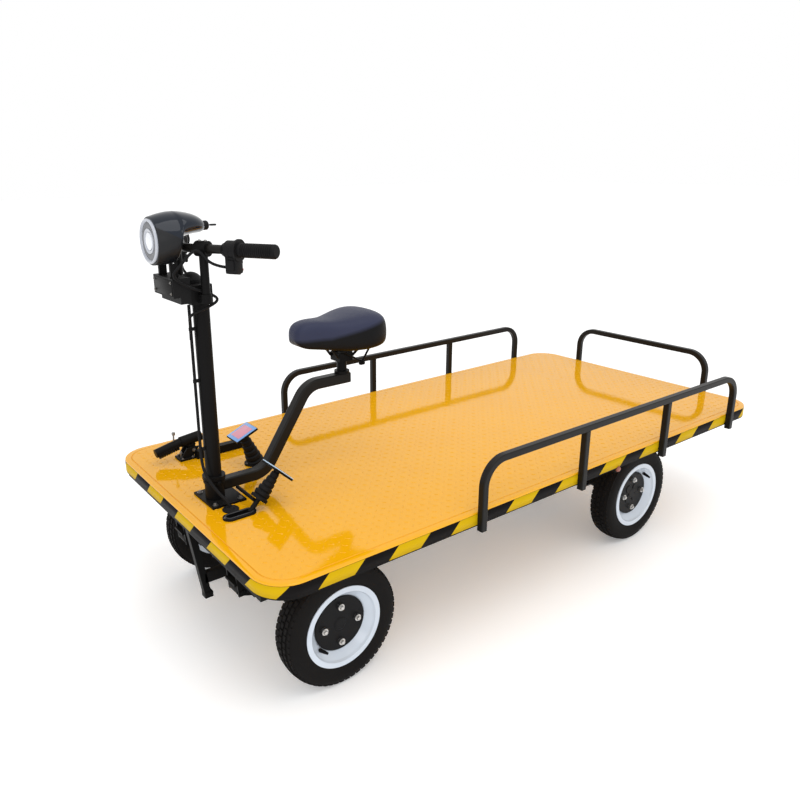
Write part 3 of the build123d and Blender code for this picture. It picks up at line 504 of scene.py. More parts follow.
def add_block(bm, low, high, soft=0.0):
    """A box between two corners, with softened edges."""
    low, high = Vector(low), Vector(high)
    spot = Matrix.Translation((low + high) / 2) @ Matrix.Diagonal((*(high - low), 1))
    made = bmesh.ops.create_cube(bm, size=1.0, matrix=spot)["verts"]
    if soft:
        soften(bm, list({edge for vert in made for edge in vert.link_edges}), soft, 2)


bolt_circle = 0.0525
disc_face = 0.015
bolt_stand = 0.007
stud_radius = 0.0085
bolt_width = 0.0110
valve_circle = 0.0845
lobe_tall, lobe_off = 0.0025, 0.019
valve_turn = {"front_left": -36, "front_right": 60, "rear_left": 132, "rear_right": 20}
for name in wheel_names:
    centre = box_middle(f"tyre_{name}")
    outward = Vector((0, 1 if centre.y > 0 else -1, 0))
    face = centre + outward * disc_face
    seat = face + Vector((bolt_circle, 0, 0))
    head = seat + outward * bolt_stand
    bm = bmesh.new()
    stud = add_rod(bm, seat, head, stud_radius)
    bolt = add_bolt(bm, head, outward, bolt_width)
    repeat_round(bm, whole(stud + bolt), face, (0, 1, 0), 4)
    make_piece(f"wheel_bolts_{name}", bm, f"wheel_{name}", steel)
    turn = radians(valve_turn[name])
    spoke = Vector((cos(turn), 0, sin(turn)))
    stem = face + spoke * valve_circle + outward * 0.004
    knee = stem - spoke * 0.005 + outward * 0.020
    bm = bmesh.new()
    add_rod(bm, stem, knee, 0.0056, 16, 0.0044)
    add_rod(bm, knee, knee - spoke * 0.002 + outward * 0.008, 0.0036, 16)
    make_piece(f"valve_stem_{name}", bm, f"wheel_{name}", soft_rubber)
    if name.startswith("rear"):
        bm = bmesh.new()
        lobe = add_rod(bm, face, face + outward * lobe_tall, 0.016, 24, 0.014)
        bmesh.ops.translate(bm, verts=lobe, vec=(lobe_off, 0, lobe_off))
        repeat_round(bm, whole(lobe), face, (0, 1, 0), 4)
        make_piece(f"hub_relief_{name}", bm, f"wheel_{name}", hub_paint)
print("bolts and valves on", len(wheel_names), "wheels, face at", round(face.y, 4))

# %% [markdown]
# ## Deck plates
# The deck is patterned plate: short raised dashes at right angles to each other, under thick yellow
# gloss, with a shallow groove inside its rim. The pattern could be a bump, but the dashes catch the
# light one by one, so each is a low eight-sided cone. The plate is a grid with rounded corners,
# inset for the groove, and cut along the cross seam.

# %% Plate with its groove
deck_low, deck_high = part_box("deck_skirt")
deck_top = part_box("deck_plate")[1].z
deck_length = deck_high.x - deck_low.x
deck_width = deck_high.y - deck_low.y
deck_middle = (deck_low.x + deck_high.x) / 2
seam = (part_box("deck_plate")[0].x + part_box("rear_deck_plate")[1].x) / 2
corner = 0.090
groove_in = 0.018
groove_wall = 0.0020
groove_deep = 0.0026
plate_thick = 0.005
rim_soft = 0.0025


def rounded_grid(bm, middle_x, z, length, width, radius, segments, middle_y=0.0):
    """A flat rectangle with round corners."""
    size = Matrix.Translation((middle_x, middle_y, z)) @ Matrix.Diagonal((length, width, 1, 1))
    bmesh.ops.create_grid(bm, x_segments=1, y_segments=1, size=0.5, matrix=size)
    soften(bm, bm.verts[:], radius, segments, "VERTICES")


def deck_sheet():
    """The whole deck as one plate: rounded corners, soft rim and a groove inside it."""
    bm = bmesh.new()
    rounded_grid(bm, deck_middle, deck_top - plate_thick, deck_length, deck_width, corner, 10)
    raise_sheet(bm, plate_thick)
    bmesh.ops.recalc_face_normals(bm, faces=bm.faces)
    rim = [edge for edge in bm.edges if all(abs(vert.co.z - deck_top) < 1e-6 for vert in edge.verts)]
    soften(bm, rim, rim_soft, 3)
    plate = max(bm.faces, key=lambda face: face.calc_area() * face.normal.z)
    bmesh.ops.inset_region(bm, faces=[plate], thickness=groove_in - rim_soft)
    for depth in (-groove_deep, groove_deep):
        bmesh.ops.inset_region(bm, faces=[plate], thickness=groove_wall, depth=depth)
    return bm


print("deck plate", round(deck_length, 3), "by", round(deck_width, 3), "m, seam at", round(seam, 4))

# %% Dashes and the two plates
dash_pitch = 0.0245
dash_long, dash_wide, dash_tall, dash_taper = 0.0105, 0.0030, 0.0020, 0.55
field_in = 0.034
dash_end_gap = 0.006
seam_gap = 0.0004


def inside_field(x, y):
    """Whether a dash at x, y lies on the patterned field, inside the groove."""
    half_x, half_y = deck_length / 2 - field_in, deck_width / 2 - field_in
    dx, dy = abs(x - deck_middle), abs(y)
    if dx > half_x or dy > half_y:
        return False
    round_in = corner - field_in
    past_x, past_y = dx - (half_x - round_in), dy - (half_y - round_in)
    return past_x < 0 or past_y < 0 or past_x ** 2 + past_y ** 2 < round_in ** 2


def add_dashes(bm, first_x, last_x):
    """Raised dashes on a chequered grid, each at right angles to its neighbours, one column at a time."""
    count = 0
    rows = int(deck_width / dash_pitch)
    column_mesh = bpy.data.meshes.new("dash column")
    for column in range(int((last_x - first_x) / dash_pitch)):
        strip = bmesh.new()
        x = first_x + (column + 0.5) * dash_pitch
        for row in range(rows):
            y = (row - rows / 2 + 0.5) * dash_pitch
            if not inside_field(x, y):
                continue
            slant = pi / 4 if (column + row) % 2 else -pi / 4
            spot = Matrix.Translation((x, y, deck_top)) @ Matrix.Rotation(slant, 4, "Z")
            spot = spot @ Matrix.Diagonal((dash_long, dash_wide, 1, 1))
            bmesh.ops.create_cone(strip, cap_ends=True, segments=8, radius1=1.0, radius2=dash_taper,
                                  depth=dash_tall, matrix=spot)
            count += 1
        strip.to_mesh(column_mesh)
        strip.free()
        bm.from_mesh(column_mesh)
    bpy.data.meshes.remove(column_mesh)
    return count


deck_parts = (("deck_plate", seam + seam_gap, deck_high.x, False),
              ("rear_deck_plate", deck_low.x, seam - seam_gap, True))
for node, first_x, last_x, keep_rear in deck_parts:
    bm = deck_sheet()
    cut_x = last_x if keep_rear else first_x
    way = (1, 0, 0) if keep_rear else (-1, 0, 0)
    everything = bm.verts[:] + bm.edges[:] + bm.faces[:]
    cut = bmesh.ops.bisect_plane(bm, geom=everything, plane_co=(cut_x, 0, 0), plane_no=way, clear_outer=True)
    open_edges = [item for item in cut["geom_cut"] if isinstance(item, bmesh.types.BMEdge)]
    bmesh.ops.holes_fill(bm, edges=open_edges, sides=0)
    count = add_dashes(bm, first_x + dash_end_gap, last_x - dash_end_gap)
    plate = make_piece(f"patterned_{node}", bm, "chassis", deck_paint, 25)
    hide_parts(node)
    print(node, count, "dashes")

# %% [markdown]
# ## Striped tape
# A band of black and yellow tape runs round the skirt. The stripes could be painted by position, but
# round the corners they have to follow the band. So the band is its own thin strip, and its UV map
# holds the length along it and the height, from which the slanted stripes are drawn.

# %% Tape strip with its own lengths
tape_low, tape_high = deck_low.z + 0.0035, deck_high.z - 0.0006
tape_out = 0.0005
tape_thick = 0.0004

bm = bmesh.new()
tape_size = deck_length + 2 * tape_out, deck_width + 2 * tape_out
rounded_grid(bm, deck_middle, tape_low, *tape_size, corner + tape_out, 12)
lane = list(bm.faces)
walls = bmesh.ops.extrude_edge_only(bm, edges=bm.edges[:])
bmesh.ops.delete(bm, geom=lane, context="FACES_ONLY")
raised = [item for item in walls["geom"] if isinstance(item, bmesh.types.BMVert)]
bmesh.ops.translate(bm, verts=raised, vec=(0, 0, tape_high - tape_low))
everything = bm.verts[:] + bm.edges[:] + bm.faces[:]
bmesh.ops.bisect_plane(bm, geom=everything, plane_co=(0, 0, 0), plane_no=(0, 1, 0))


def tape_length(place):
    """Distance along the tape from the middle of the front to a point, on either side."""
    half_x, half_y = deck_length / 2 + tape_out, deck_width / 2 + tape_out
    bend = corner + tape_out
    x, y = place.x - deck_middle, abs(place.y)
    run_front, run_bend, run_side = half_y - bend, bend * pi / 2, 2 * (half_x - bend)
    if x > half_x - bend:
        past = max(y - run_front, 0.0)
        return min(y, run_front) + bend * atan2(past, max(x - (half_x - bend), 1e-6))
    if x >= -(half_x - bend):
        return run_front + run_bend + (half_x - bend) - x
    angle = atan2(-(half_x - bend) - x, max(y - run_front, 1e-6))
    return run_front + run_bend + run_side + bend * angle + max(run_front - y, 0.0)


lengths = bm.loops.layers.uv.new("tape")
for face in bm.faces:
    way = 1 if face.calc_center_median().y > 0 else -1
    for loop in face.loops:
        loop[lengths].uv = (way * tape_length(loop.vert.co), loop.vert.co.z)
print("tape strip faces", len(bm.faces), "half length", round(tape_length(Vector((deck_low.x, 0, 0))), 3))

# %% Tape finish
tape_paint = finish("striped tape", (0.60, 0.39, 0.004), (0.53, 0.33, 0.003), 0.5, ripple_scale=60,
                    dusty=0.0, scuffed=0.4, shine=0.05)
tree = tape_paint.node_tree
uv = tree.nodes.new("ShaderNodeUVMap")
uv.uv_map = "tape"
split = tree.nodes.new("ShaderNodeSeparateXYZ")
tree.links.new(uv.outputs["UV"], split.inputs["Vector"])
stripe = 0.1035
stripe_start = 0.0185
slanted = math_node(tree, "SUBTRACT", split.outputs["X"], split.outputs["Y"])
slanted = math_node(tree, "ADD", slanted, stripe_start)
phase = math_node(tree, "FLOORED_MODULO", slanted, 2 * stripe)
dark = math_node(tree, "GREATER_THAN", phase, stripe)
tint(tree, dark, (0.006, 0.005, 0.005))
tape = make_piece("striped_tape", bm, "chassis", tape_paint)
film = tape.modifiers.new("film", "SOLIDIFY")
film.thickness = tape_thick
film.offset = -1.0
print("stripes", stripe, "m wide")

# %% [markdown]
# ## Saddle
# The saddle is a sprung cycle saddle: a blunt round nose, a dip, and a wide raised back, in a tight
# dark cover painted as lit and shaded: a blue top that is a painted bluish highlight, and a black
# side below a height line that is painted shade. It is foam moulded to shape and not a loose
# cushion, so a cage of a few rings with a subdivision surface gives its form better than an
# inflated pad would.
# Two bent wires with clamps carry it from below.

# %% Saddle cage
saddle_low, saddle_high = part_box("saddle")
saddle_length = saddle_high.x - saddle_low.x
nose_in = 0.010
# share of the length from the back, half width, bottom, side and top height over the solid's foot
saddle_rings = ((0.00, 0.070, 0.022, 0.052, 0.088), (0.07, 0.098, 0.008, 0.058, 0.107),
                (0.22, 0.1085, 0.002, 0.060, 0.1125), (0.42, 0.094, 0.000, 0.058, 0.102),
                (0.60, 0.066, 0.006, 0.056, 0.093), (0.78, 0.047, 0.015, 0.056, 0.100),
                (0.92, 0.041, 0.021, 0.056, 0.096), (0.98, 0.029, 0.035, 0.056, 0.080),
                (1.00, 0.012, 0.048, 0.056, 0.065))
ring_points = ((-0.62, "low"), (-0.98, "low"), (-1.0, "side"), (-0.91, "near"), (-0.52, "high"),
               (0.0, "top"), (0.52, "high"), (0.91, "near"), (1.0, "side"), (0.98, "low"), (0.62, "low"))
bm = bmesh.new()
loops = []
for share, half, low, mid, top in saddle_rings:
    x = saddle_low.x + share * (saddle_length - nose_in)
    level_of = {"low": low, "side": mid, "top": top}
    level_of["near"] = mid + 0.74 * (top - mid)
    level_of["high"] = mid + 0.97 * (top - mid)
    ring = [bm.verts.new((x, out * half, saddle_low.z + level_of[height])) for out, height in ring_points]
    loops.append([bm.edges.new(pair) for pair in zip(ring, ring[1:] + ring[:1])])
bridge_rings(bm, loops)
# the cover's blue stands for its lit top: a painted bluish highlight
cover = finish("saddle cover", (0.022, 0.026, 0.056), (0.031, 0.035, 0.066), 0.40, ripple_scale=520,
               ripple_fine=0.9, bump=0.22, dusty=0.03, scuffed=0.15, shine=0.14)
shade_line_start, shade_line_slope, shade_line_height, shade_line_edge = 0.19, 0.24, 0.052, 75.0
tree = cover.node_tree
axes = object_axes(tree)
behind = math_node(tree, "SUBTRACT", saddle_low.x + shade_line_start, axes["X"])
back_rise = math_node(tree, "MAXIMUM", math_node(tree, "MULTIPLY", behind, shade_line_slope), 0.0)
shade_line_top = math_node(tree, "ADD", back_rise, saddle_low.z + shade_line_height)
under_shade_line = math_node(tree, "MULTIPLY", math_node(tree, "SUBTRACT", shade_line_top, axes["Z"]), shade_line_edge)
painted_side_shade = math_node(tree, "MINIMUM", math_node(tree, "MAXIMUM", under_shade_line, 0.0), 1.0)
# painted shade: under a line that rises to the back, the saddle's side is tinted black
tint(tree, painted_side_shade, (0.002, 0.002, 0.0025))
saddle = make_piece("saddle_cover", bm, "chassis", cover, 80)
smooth_out(saddle, 3)
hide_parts("saddle")
print("saddle rings", len(saddle_rings), "length", round(saddle_length, 3))

# %% Saddle wires
frame_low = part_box("saddle_frame")[0]
wire_x = frame_low.x + 0.012
wire_radius = 0.0032
clamp_half = Vector((0.008, 0.006, 0.008))
bm = bmesh.new()
for way in (-1, 1):
    clamp = Vector((wire_x + 0.006, way * 0.042, frame_low.z - 0.006))
    add_rod(bm, (wire_x + 0.085, way * 0.028, saddle_low.z + 0.006), clamp, wire_radius, 12)
    add_rod(bm, clamp, (wire_x - 0.020, way * 0.060, saddle_low.z + 0.016), wire_radius, 12)
    add_block(bm, clamp - clamp_half, clamp + clamp_half, 0.002)
    add_rod(bm, clamp - Vector((0, 0.010, 0)), clamp + Vector((0, 0.010, 0)), 0.0050, 16)
make_piece("saddle_wires", bm, "chassis", column_paint)
print("saddle wires at x", round(wire_x, 3))

# %% [markdown]
# ## Lamp pod
# The pod is one round moulding: a drum round the lamp, drawn up and back into a narrow canopy over
# the bar. Its upper shell is mirror bright and its underside is satin. The shell's blue tone is a
# painted blue sheen, and the underside is tinted near black as painted shade. The solid has the
# right size but flat joins between its sections, so circles drawn out to each section are bridged
# here and rounded by subdivision. The split between bright and satin, and the painted shade under
# it, follows the height.

# %% Pod shell
pod_low, pod_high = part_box("lamp_pod")
lens_low, lens_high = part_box("lamp_lens")
# distance behind the pod's front, half width, bottom and top over the pod's lowest point
pod_rings = ((0.000, 0.0598, 0.0005, 0.1195), (0.003, 0.0602, 0.0002, 0.1200),
             (0.020, 0.0670, 0.0002, 0.1250), (0.044, 0.0728, 0.0006, 0.1292),
             (0.053, 0.0732, 0.0030, 0.1294), (0.0575, 0.0732, 0.0240, 0.1294),
             (0.060, 0.0730, 0.0560, 0.1294), (0.074, 0.0700, 0.0660, 0.1286),
             (0.102, 0.0630, 0.0715, 0.1234), (0.124, 0.0460, 0.0720, 0.1140),
             (0.132, 0.0320, 0.0745, 0.1060))
pod_lip = 0.003
bm = bmesh.new()
loops = []
for back, half, low, high in pod_rings:
    spot = Matrix.Translation((pod_high.x - back, 0, pod_low.z + (low + high) / 2))
    spot = spot @ Matrix.Rotation(pi / 2, 4, "Y") @ Matrix.Diagonal(((high - low) / 2, half, 1, 1))
    ring = bmesh.ops.create_circle(bm, cap_ends=False, segments=20, radius=1.0, matrix=spot)
    loops.append(list({edge for vert in ring["verts"] for edge in vert.link_edges}))
for face in bridge_rings(bm, loops):
    bmesh.ops.inset_region(bm, faces=[face], thickness=pod_lip)
# the shell's blue tone is a painted blue sheen
pod_paint = finish("lamp shell", (0.006, 0.009, 0.016), (0.008, 0.012, 0.020), 0.08, ripple_scale=30,
                   bump=0.015, dusty=0.0, scuffed=0.15, shine=0.3)
arch_back, arch_slope, arch_height, satin_rough = 0.055, 0.55, 0.066, 0.36
tree = pod_paint.node_tree
axes = object_axes(tree)
ahead_of = math_node(tree, "SUBTRACT", axes["X"], pod_high.x - arch_back)
arch = math_node(tree, "MAXIMUM", math_node(tree, "MULTIPLY", ahead_of, arch_slope), 0.0)
line = math_node(tree, "ADD", arch, pod_low.z + arch_height)
satin_and_under_shade = math_node(tree, "MULTIPLY", math_node(tree, "LESS_THAN", axes["Z"], line), satin_rough)
rough = tree.nodes["Principled BSDF"].inputs["Roughness"]
tree.links.new(math_node(tree, "ADD", rough.links[0].from_socket, satin_and_under_shade), rough)
# painted shade: below the height line the underside is tinted near black
tint(tree, math_node(tree, "MULTIPLY", satin_and_under_shade, 2.4), (0.003, 0.003, 0.0035))
pod = make_piece("lamp_shell", bm, "steering", pod_paint, 60)
smooth_out(pod, 2)
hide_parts("lamp_pod")
print("pod rings", len(pod_rings))

# %% [markdown]
# ## Lamp face
# The lamp has a pale outer ring, a dark recess, a thin inner ring and a bright round lens in the
# middle. Each is a half outline spun round the lamp's axis.

# %% Lamp rings
lamp_face = Vector((lens_low.x, 0, (lens_low.z + lens_high.z) / 2))
lens_radius = (lens_high.z - lens_low.z) / 2
ring_plastic = finish("lamp ring", (0.36, 0.38, 0.43), (0.46, 0.48, 0.53), 0.16, coat=0.6, ripple_scale=80,
                      dusty=0.0)
recess_paint = finish("lamp recess", (0.05, 0.053, 0.062), (0.12, 0.125, 0.14), 0.12, ripple_scale=200,
                      dusty=0.0)
bulb_glass = finish("lamp centre lens", (0.82, 0.84, 0.88), (0.7, 0.72, 0.76), 0.05, coat=1.0,
                    ripple_scale=120, dusty=0.0)
lamp_rings = (("lamp_ring", ring_plastic,
               ((0.0, 1.0), (0.0035, 1.0), (0.0058, 0.97), (0.0058, 0.91), (0.003, 0.86), (0.0, 0.84))),
              ("lamp_recess", recess_paint, ((0.0, 0.86), (0.0012, 0.86), (0.0030, 0.72), (0.0010, 0.56),
                                             (0.0, 0.55))),
              ("lamp_inner_ring", ring_plastic,
               ((0.0, 0.57), (0.0034, 0.56), (0.0034, 0.49), (0.0008, 0.40), (0.0, 0.39))),
              ("lamp_bulb", bulb_glass, ((0.0, 0.39), (0.0026, 0.39), (0.0038, 0.35), (0.0048, 0.24),
                                         (0.0056, 0.12), (0.0058, 0.0))))
for name, material, outline in lamp_rings:
    bm = bmesh.new()
    profile = [(far, share * lens_radius) for far, share in outline]
    if profile[-1][1] == 0:
        profile = [(0.0, 0.0)] + profile
    lathe(bm, profile, (1, 0, 0), lamp_face, 72, closed=profile[-1][1] > 0)
    piece = make_piece(name, bm, "steering", material)
    if name == "lamp_ring":
        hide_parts("lamp_lens")
print("lamp face at x", round(lamp_face.x, 4), "radius", round(lens_radius, 4))

# %% [markdown]
# ## Grips, switches and key
# The grips are ribbed rubber sleeves with a flange at the inner end. Each switch housing has buttons
# on the rider's side and a seam between its halves. The ribs could be a bump, but they show on the
# grip's outline, so the whole sleeve is one outline spun round the bar.

# %% Grips
bar_low, bar_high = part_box("handlebar")
grip_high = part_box("grips")[1]
bar_z = (bar_low.z + bar_high.z) / 2
bar_bend_y = 0.040
bar_root = Vector((bar_high.x - 0.0110, bar_bend_y, bar_z))
bar_slope = Vector((-0.118, 0.222, 0)).normalized()
grip_length = 0.102
grip_tip = bar_root + bar_slope * ((grip_high.y - 0.0082 - bar_bend_y) / bar_slope.y)
grip_radius, groove_radius, flange_radius = 0.0172, 0.0158, 0.0174


def bar_end(way):
    """The grip's tip on one side of the bar, and the direction from it along the bar."""
    return Vector((grip_tip.x, way * grip_tip.y, bar_z)), Vector((-bar_slope.x, -way * bar_slope.y, 0))


bm = bmesh.new()
for way in (1, -1):
    tip, inward = bar_end(way)
    profile = [(0.0, 0.0), (0.0, 0.0135), (0.002, groove_radius), (0.005, grip_radius)]
    for rib in range(14):
        far = 0.008 + rib * 0.0058
        profile += [(far, grip_radius), (far + 0.0008, groove_radius), (far + 0.0026, groove_radius),
                    (far + 0.0034, grip_radius)]
    profile += [(0.094, groove_radius), (0.0975, flange_radius), (grip_length, flange_radius),
                (grip_length, 0.0)]
    lathe(bm, profile, inward, tip, 40)
grips = make_piece("ribbed_grips", bm, "steering", soft_rubber, 30)
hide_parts("grips")
print("grip tip at", [round(v, 3) for v in grip_tip])

# %% Switch housings
def merge_into(bm, part, matrix):
    """Moves a small bmesh by a matrix and adds it to another."""
    bmesh.ops.transform(part, matrix=matrix, verts=part.verts[:])
    mesh = bpy.data.meshes.new("part")
    part.to_mesh(mesh)
    part.free()
    bm.from_mesh(mesh)
    bpy.data.meshes.remove(mesh)


button_red = finish("button red", (0.30, 0.02, 0.015), (0.24, 0.015, 0.01), 0.35, dusty=0.0)
drum_outline = ((0.0, 0.0), (0.0, 0.0262), (0.006, 0.0262), (0.008, 0.0228), (0.020, 0.0222),
                (0.021, 0.0214), (0.022, 0.0222), (0.034, 0.0222), (0.038, 0.0190), (0.046, 0.0150),
                (0.046, 0.0))
# boxes of the lower half: low and high corner along the bar, across it and up, and the soft edge
switch_boxes = (((0.003, -0.015, -0.056), (0.036, 0.015, -0.010), 0.004),
                ((0.008, -0.021, -0.046), (0.030, 0.0, -0.022), 0.003),
                ((0.012, 0.010, -0.060), (0.028, 0.018, -0.040), 0.002))
bm, red = bmesh.new(), bmesh.new()
# buttons: mesh, place along the bar, height, and how far back they reach
buttons = ((bm, 0.011, -0.030, 0.0185), (bm, 0.028, -0.030, 0.0185), (bm, 0.028, -0.048, 0.0185),
           (red, 0.011, -0.048, 0.0190))
for way in (1, -1):
    tip, inward = bar_end(way)
    start = tip + inward * grip_length
    rear = Vector((-abs(inward.y), inward.x if inward.y > 0 else -inward.x, 0))
    lathe(bm, drum_outline, inward, start, 40)
    seat = Matrix.Translation(start) @ Matrix((inward, rear, Vector((0, 0, 1)))).transposed().to_4x4()
    for low, high, soft in switch_boxes:
        box = bmesh.new()
        add_block(box, low, high, soft)
        merge_into(bm, box, seat)
    for mesh, far, drop, out_to in buttons:
        spot = start + inward * far + Vector((0, 0, drop))
        add_rod(mesh, spot + rear * 0.012, spot + rear * out_to, 0.0055, 20, 0.005)
housings = make_piece("switch_bodies", bm, "steering", shell_matt)
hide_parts("switch_housings")
make_piece("red_buttons", red, "steering", button_red)
print("switch housings at y", round(abs(start.y), 3))

# %% Key
key_low, key_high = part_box("key_switch")
key_z = (key_low.z + key_high.z) / 2
bm = bmesh.new()
barrel = 0.022
barrel_outline = ((0.0, 0.0), (0.0, 0.0095), (0.003, 0.0118), (barrel, 0.0118), (barrel, 0.0))
lathe(bm, barrel_outline, (1, 0, 0), (key_high.x - barrel, 0, key_z), 32)
bow = Vector((key_low.x + 0.009, 0, key_z))
bow_half = Vector((0, 0, 0.0019))
add_rod(bm, bow - bow_half, bow + bow_half, 0.0088, 24)
add_block(bm, (key_low.x + 0.015, -0.003, key_z - 0.001), (key_high.x - 0.020, 0.003, key_z + 0.001))
key = make_piece("ignition_key", bm, "steering", shell_matt)
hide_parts("key_switch")
print("key at z", round(key_z, 3))

# %% [markdown]
# ## Leads
# A lead leaves each switch housing, bends over the front of the post and runs down the box to the
# column. It could be a chain of short rods. A smooth spline through a few route points, with a round
# bevel, is closer to how a lead hangs, and it becomes a mesh so that it can ride like the rest.

# %% Lead helper and switch leads
def lead_piece(name, body, route, radius, sides=4, rides=True):
    """A round lead along a smooth curve through route points."""
    curve = bpy.data.curves.new("lead route", "CURVE")
    curve.dimensions = "3D"
    curve.bevel_depth = radius
    curve.bevel_resolution = sides
    curve.use_fill_caps = True
    spline = curve.splines.new("NURBS")
    spline.points.add(len(route) - 1)
    for point, place in zip(spline.points, route):
        point.co = (*place, 1.0)
    spline.order_u = 3
    spline.use_endpoint_u = True
    spline.resolution_u = 8
    holder = bpy.data.objects.new("lead route", curve)
    scene.collection.objects.link(holder)
    shape = holder.evaluated_get(bpy.context.evaluated_depsgraph_get()).to_mesh()
    bm = bmesh.new()
    bm.from_mesh(shape)
    bpy.data.objects.remove(holder)
    bpy.data.curves.remove(curve)
    bmesh.ops.remove_doubles(bm, verts=bm.verts, dist=1e-5)
    return make_piece(name, bm, body, soft_rubber, 60, rides)


column_low, column_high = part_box("column_cable")
column_lead_x = (column_low.x + column_high.x) / 2
switch_lead, main_lead_radius = 0.0036, 0.0042
head_route = [(0.924, 0.136, 1.096), (0.952, 0.113, 1.101), (0.971, 0.099, 1.134), (0.990, 0.096, 1.138),
              (1.028, 0.088, 1.096), (1.037, 0.073, 1.079), (1.010, 0.071, 1.053), (0.962, 0.074, 1.033),
              (0.940, 0.072, 1.026), (0.918, 0.078, 1.008), (0.955, 0.066, 0.988), (0.985, 0.034, 0.970),
              (column_lead_x + 0.004, 0.008, 0.945), (column_lead_x + 0.004, 0.006, 0.90)]
lead_piece("switch_lead_left", "steering", head_route, switch_lead)
other_route = [(0.924, -0.136, 1.096), (0.934, -0.116, 1.072), (0.926, -0.092, 1.050),
               (0.930, -0.064, 1.036), (0.940, -0.055, 1.030)]
lead_piece("switch_lead_right", "steering", other_route, switch_lead)
print("switch leads through", len(head_route), "points")

# %% [markdown]
# The main lead comes down the column, crosses from the turning column to the deck near the collar,
# and goes through a grommet into the deck. One piece has to follow both, so it is one fine mesh that
# stays in place and rides on neither body.

# %% Main lead
seal_low, seal_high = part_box("deck_grommet")
seal = (seal_low + seal_high) / 2
deck_lead_low, deck_lead_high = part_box("deck_cable")
main_route = [(seal.x, seal.y, seal_low.z + 0.004), (seal.x + 0.004, seal.y - 0.004, seal_high.z + 0.012),
              (deck_lead_high.x - 0.021, deck_lead_low.y + 0.030, deck_lead_high.z - 0.036),
              (deck_lead_high.x - 0.004, deck_lead_low.y + 0.004, deck_lead_high.z + 0.002),
              (column_lead_x + 0.004, 0.014, column_low.z + 0.020),
              (column_lead_x, 0.0, column_low.z + 0.070), (column_lead_x, 0.0, column_low.z + 0.200),
              (column_lead_x, 0.0, column_high.z - 0.12), (column_lead_x, 0.0, column_high.z)]
main_lead = lead_piece("main_lead", "chassis", main_route, main_lead_radius, 6, rides=False)
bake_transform(main_lead)
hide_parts("column_cable", "deck_cable")
bm = bmesh.new()
tie_outline = ((-0.004, 0.0), (-0.004, 0.0054), (0.004, 0.0054), (0.004, 0.0))
for height in (0.066, 0.26, 0.40):
    z = column_low.z + height
    lathe(bm, tie_outline, (0, 0, 1), (column_lead_x, 0, z), 20)
    add_block(bm, (column_lead_x - 0.014, -0.005, z - 0.004), (column_lead_x + 0.002, 0.005, z + 0.004),
              0.001)
make_piece("lead_ties", bm, "steering", soft_rubber)
bm = bmesh.new()
seal_outline = ((0.0, 0.0), (0.0, 0.0228), (0.003, 0.0228), (0.0046, 0.020), (0.0046, 0.014),
                (0.0088, 0.0105), (0.0088, 0.0))
lathe(bm, seal_outline, (0, 0, 1), (seal.x, seal.y, seal_low.z), 40)
grommet = make_piece("lead_grommet", bm, "chassis", soft_rubber)
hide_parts("deck_grommet")
print("main lead from the grommet at", round(seal.x, 3), "to z", round(column_high.z, 3))

# %% [markdown]
# ## Column foot, clamps and box lid
# The column stands in a sleeve on a square foot plate with four bolts. A ring goes round the sleeve's
# top, and behind it a short arm reaches to the left pedal's stem. Two clamps with two screws each
# hold the bar, and the box under the lamp has a lid with four screws.

# %% Column foot, clamp screws and box lid
foot_low, foot_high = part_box("column_sleeve")
foot_top = deck_top + 0.006
bolt_in = 0.013
places = [(x, y, foot_top) for x in (foot_low.x + bolt_in, foot_high.x - bolt_in)
          for y in (foot_low.y + bolt_in, foot_high.y - bolt_in)]
bolt_piece("foot_bolts", "chassis", places, (0, 0, 1), 0.0095)
# the lead hangs this far from the column's axis
lead_off = 0.033
sleeve_top = Vector((column_lead_x - lead_off, 0, foot_high.z))
bm = bmesh.new()
ring_outline = ((-0.010, 0.0268), (-0.010, 0.0302), (-0.003, 0.0302), (-0.003, 0.0268))
lathe(bm, ring_outline, (0, 0, 1), sleeve_top, 48, closed=True)
add_block(bm, sleeve_top + Vector((-0.005, 0.0265, -0.012)), sleeve_top + Vector((0.005, 0.0360, -0.001)),
          0.001)
make_piece("sleeve_ring", bm, "chassis", column_paint)
arm_x, arm_z, arm_radius = foot_low.x + 0.0123, deck_top + 0.034, 0.0052
arm_end = (arm_x - 0.001, box_middle("left_pedal").y - 0.002, arm_z - 0.003)
bm = bmesh.new()
add_rod(bm, (arm_x, 0.034, arm_z), arm_end, arm_radius, 20)
make_piece("pedal_link", bm, "chassis", column_paint)
clamp_y, clamp_top, screw_off = 0.080, 0.0165, 0.009
places = []
for way in (1, -1):
    for far in (-screw_off, screw_off):
        spot = bar_root + bar_slope * ((clamp_y - bar_bend_y) / bar_slope.y + far)
        places.append((spot.x, way * spot.y, bar_z + clamp_top))
bolt_piece("clamp_screws", "steering", places, (0, 0, 1), 0.007)
box_low, box_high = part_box("control_box")
bm = bmesh.new()
add_block(bm, (box_high.x - 0.0020, box_low.y + 0.004, box_high.z - 0.043),
          (box_high.x + 0.0012, box_high.y - 0.004, box_high.z - 0.004), 0.0006)
make_piece("box_lid", bm, "steering", column_paint)
places = [(box_high.x + 0.0010, y, z) for y in (box_low.y + 0.010, box_high.y - 0.010)
          for z in (box_high.z - 0.037, box_high.z - 0.010)]
bolt_piece("lid_screws", "steering", places, (1, 0, 0), 0.0045)
print("foot plate", round(foot_high.x - foot_low.x, 3), "by", round(foot_high.y - foot_low.y, 3))

# %% [markdown]
# ## Pedals
# Both pedals are flat treads on booted stems. The left one stands in a slot with a raised grey rim,
# and its tread has a ribbed pad with a light blue edge. The right one still has a blue film and a
# plain red panel. The pads are built flat and tilted onto the treads, so that their ribs stay square.

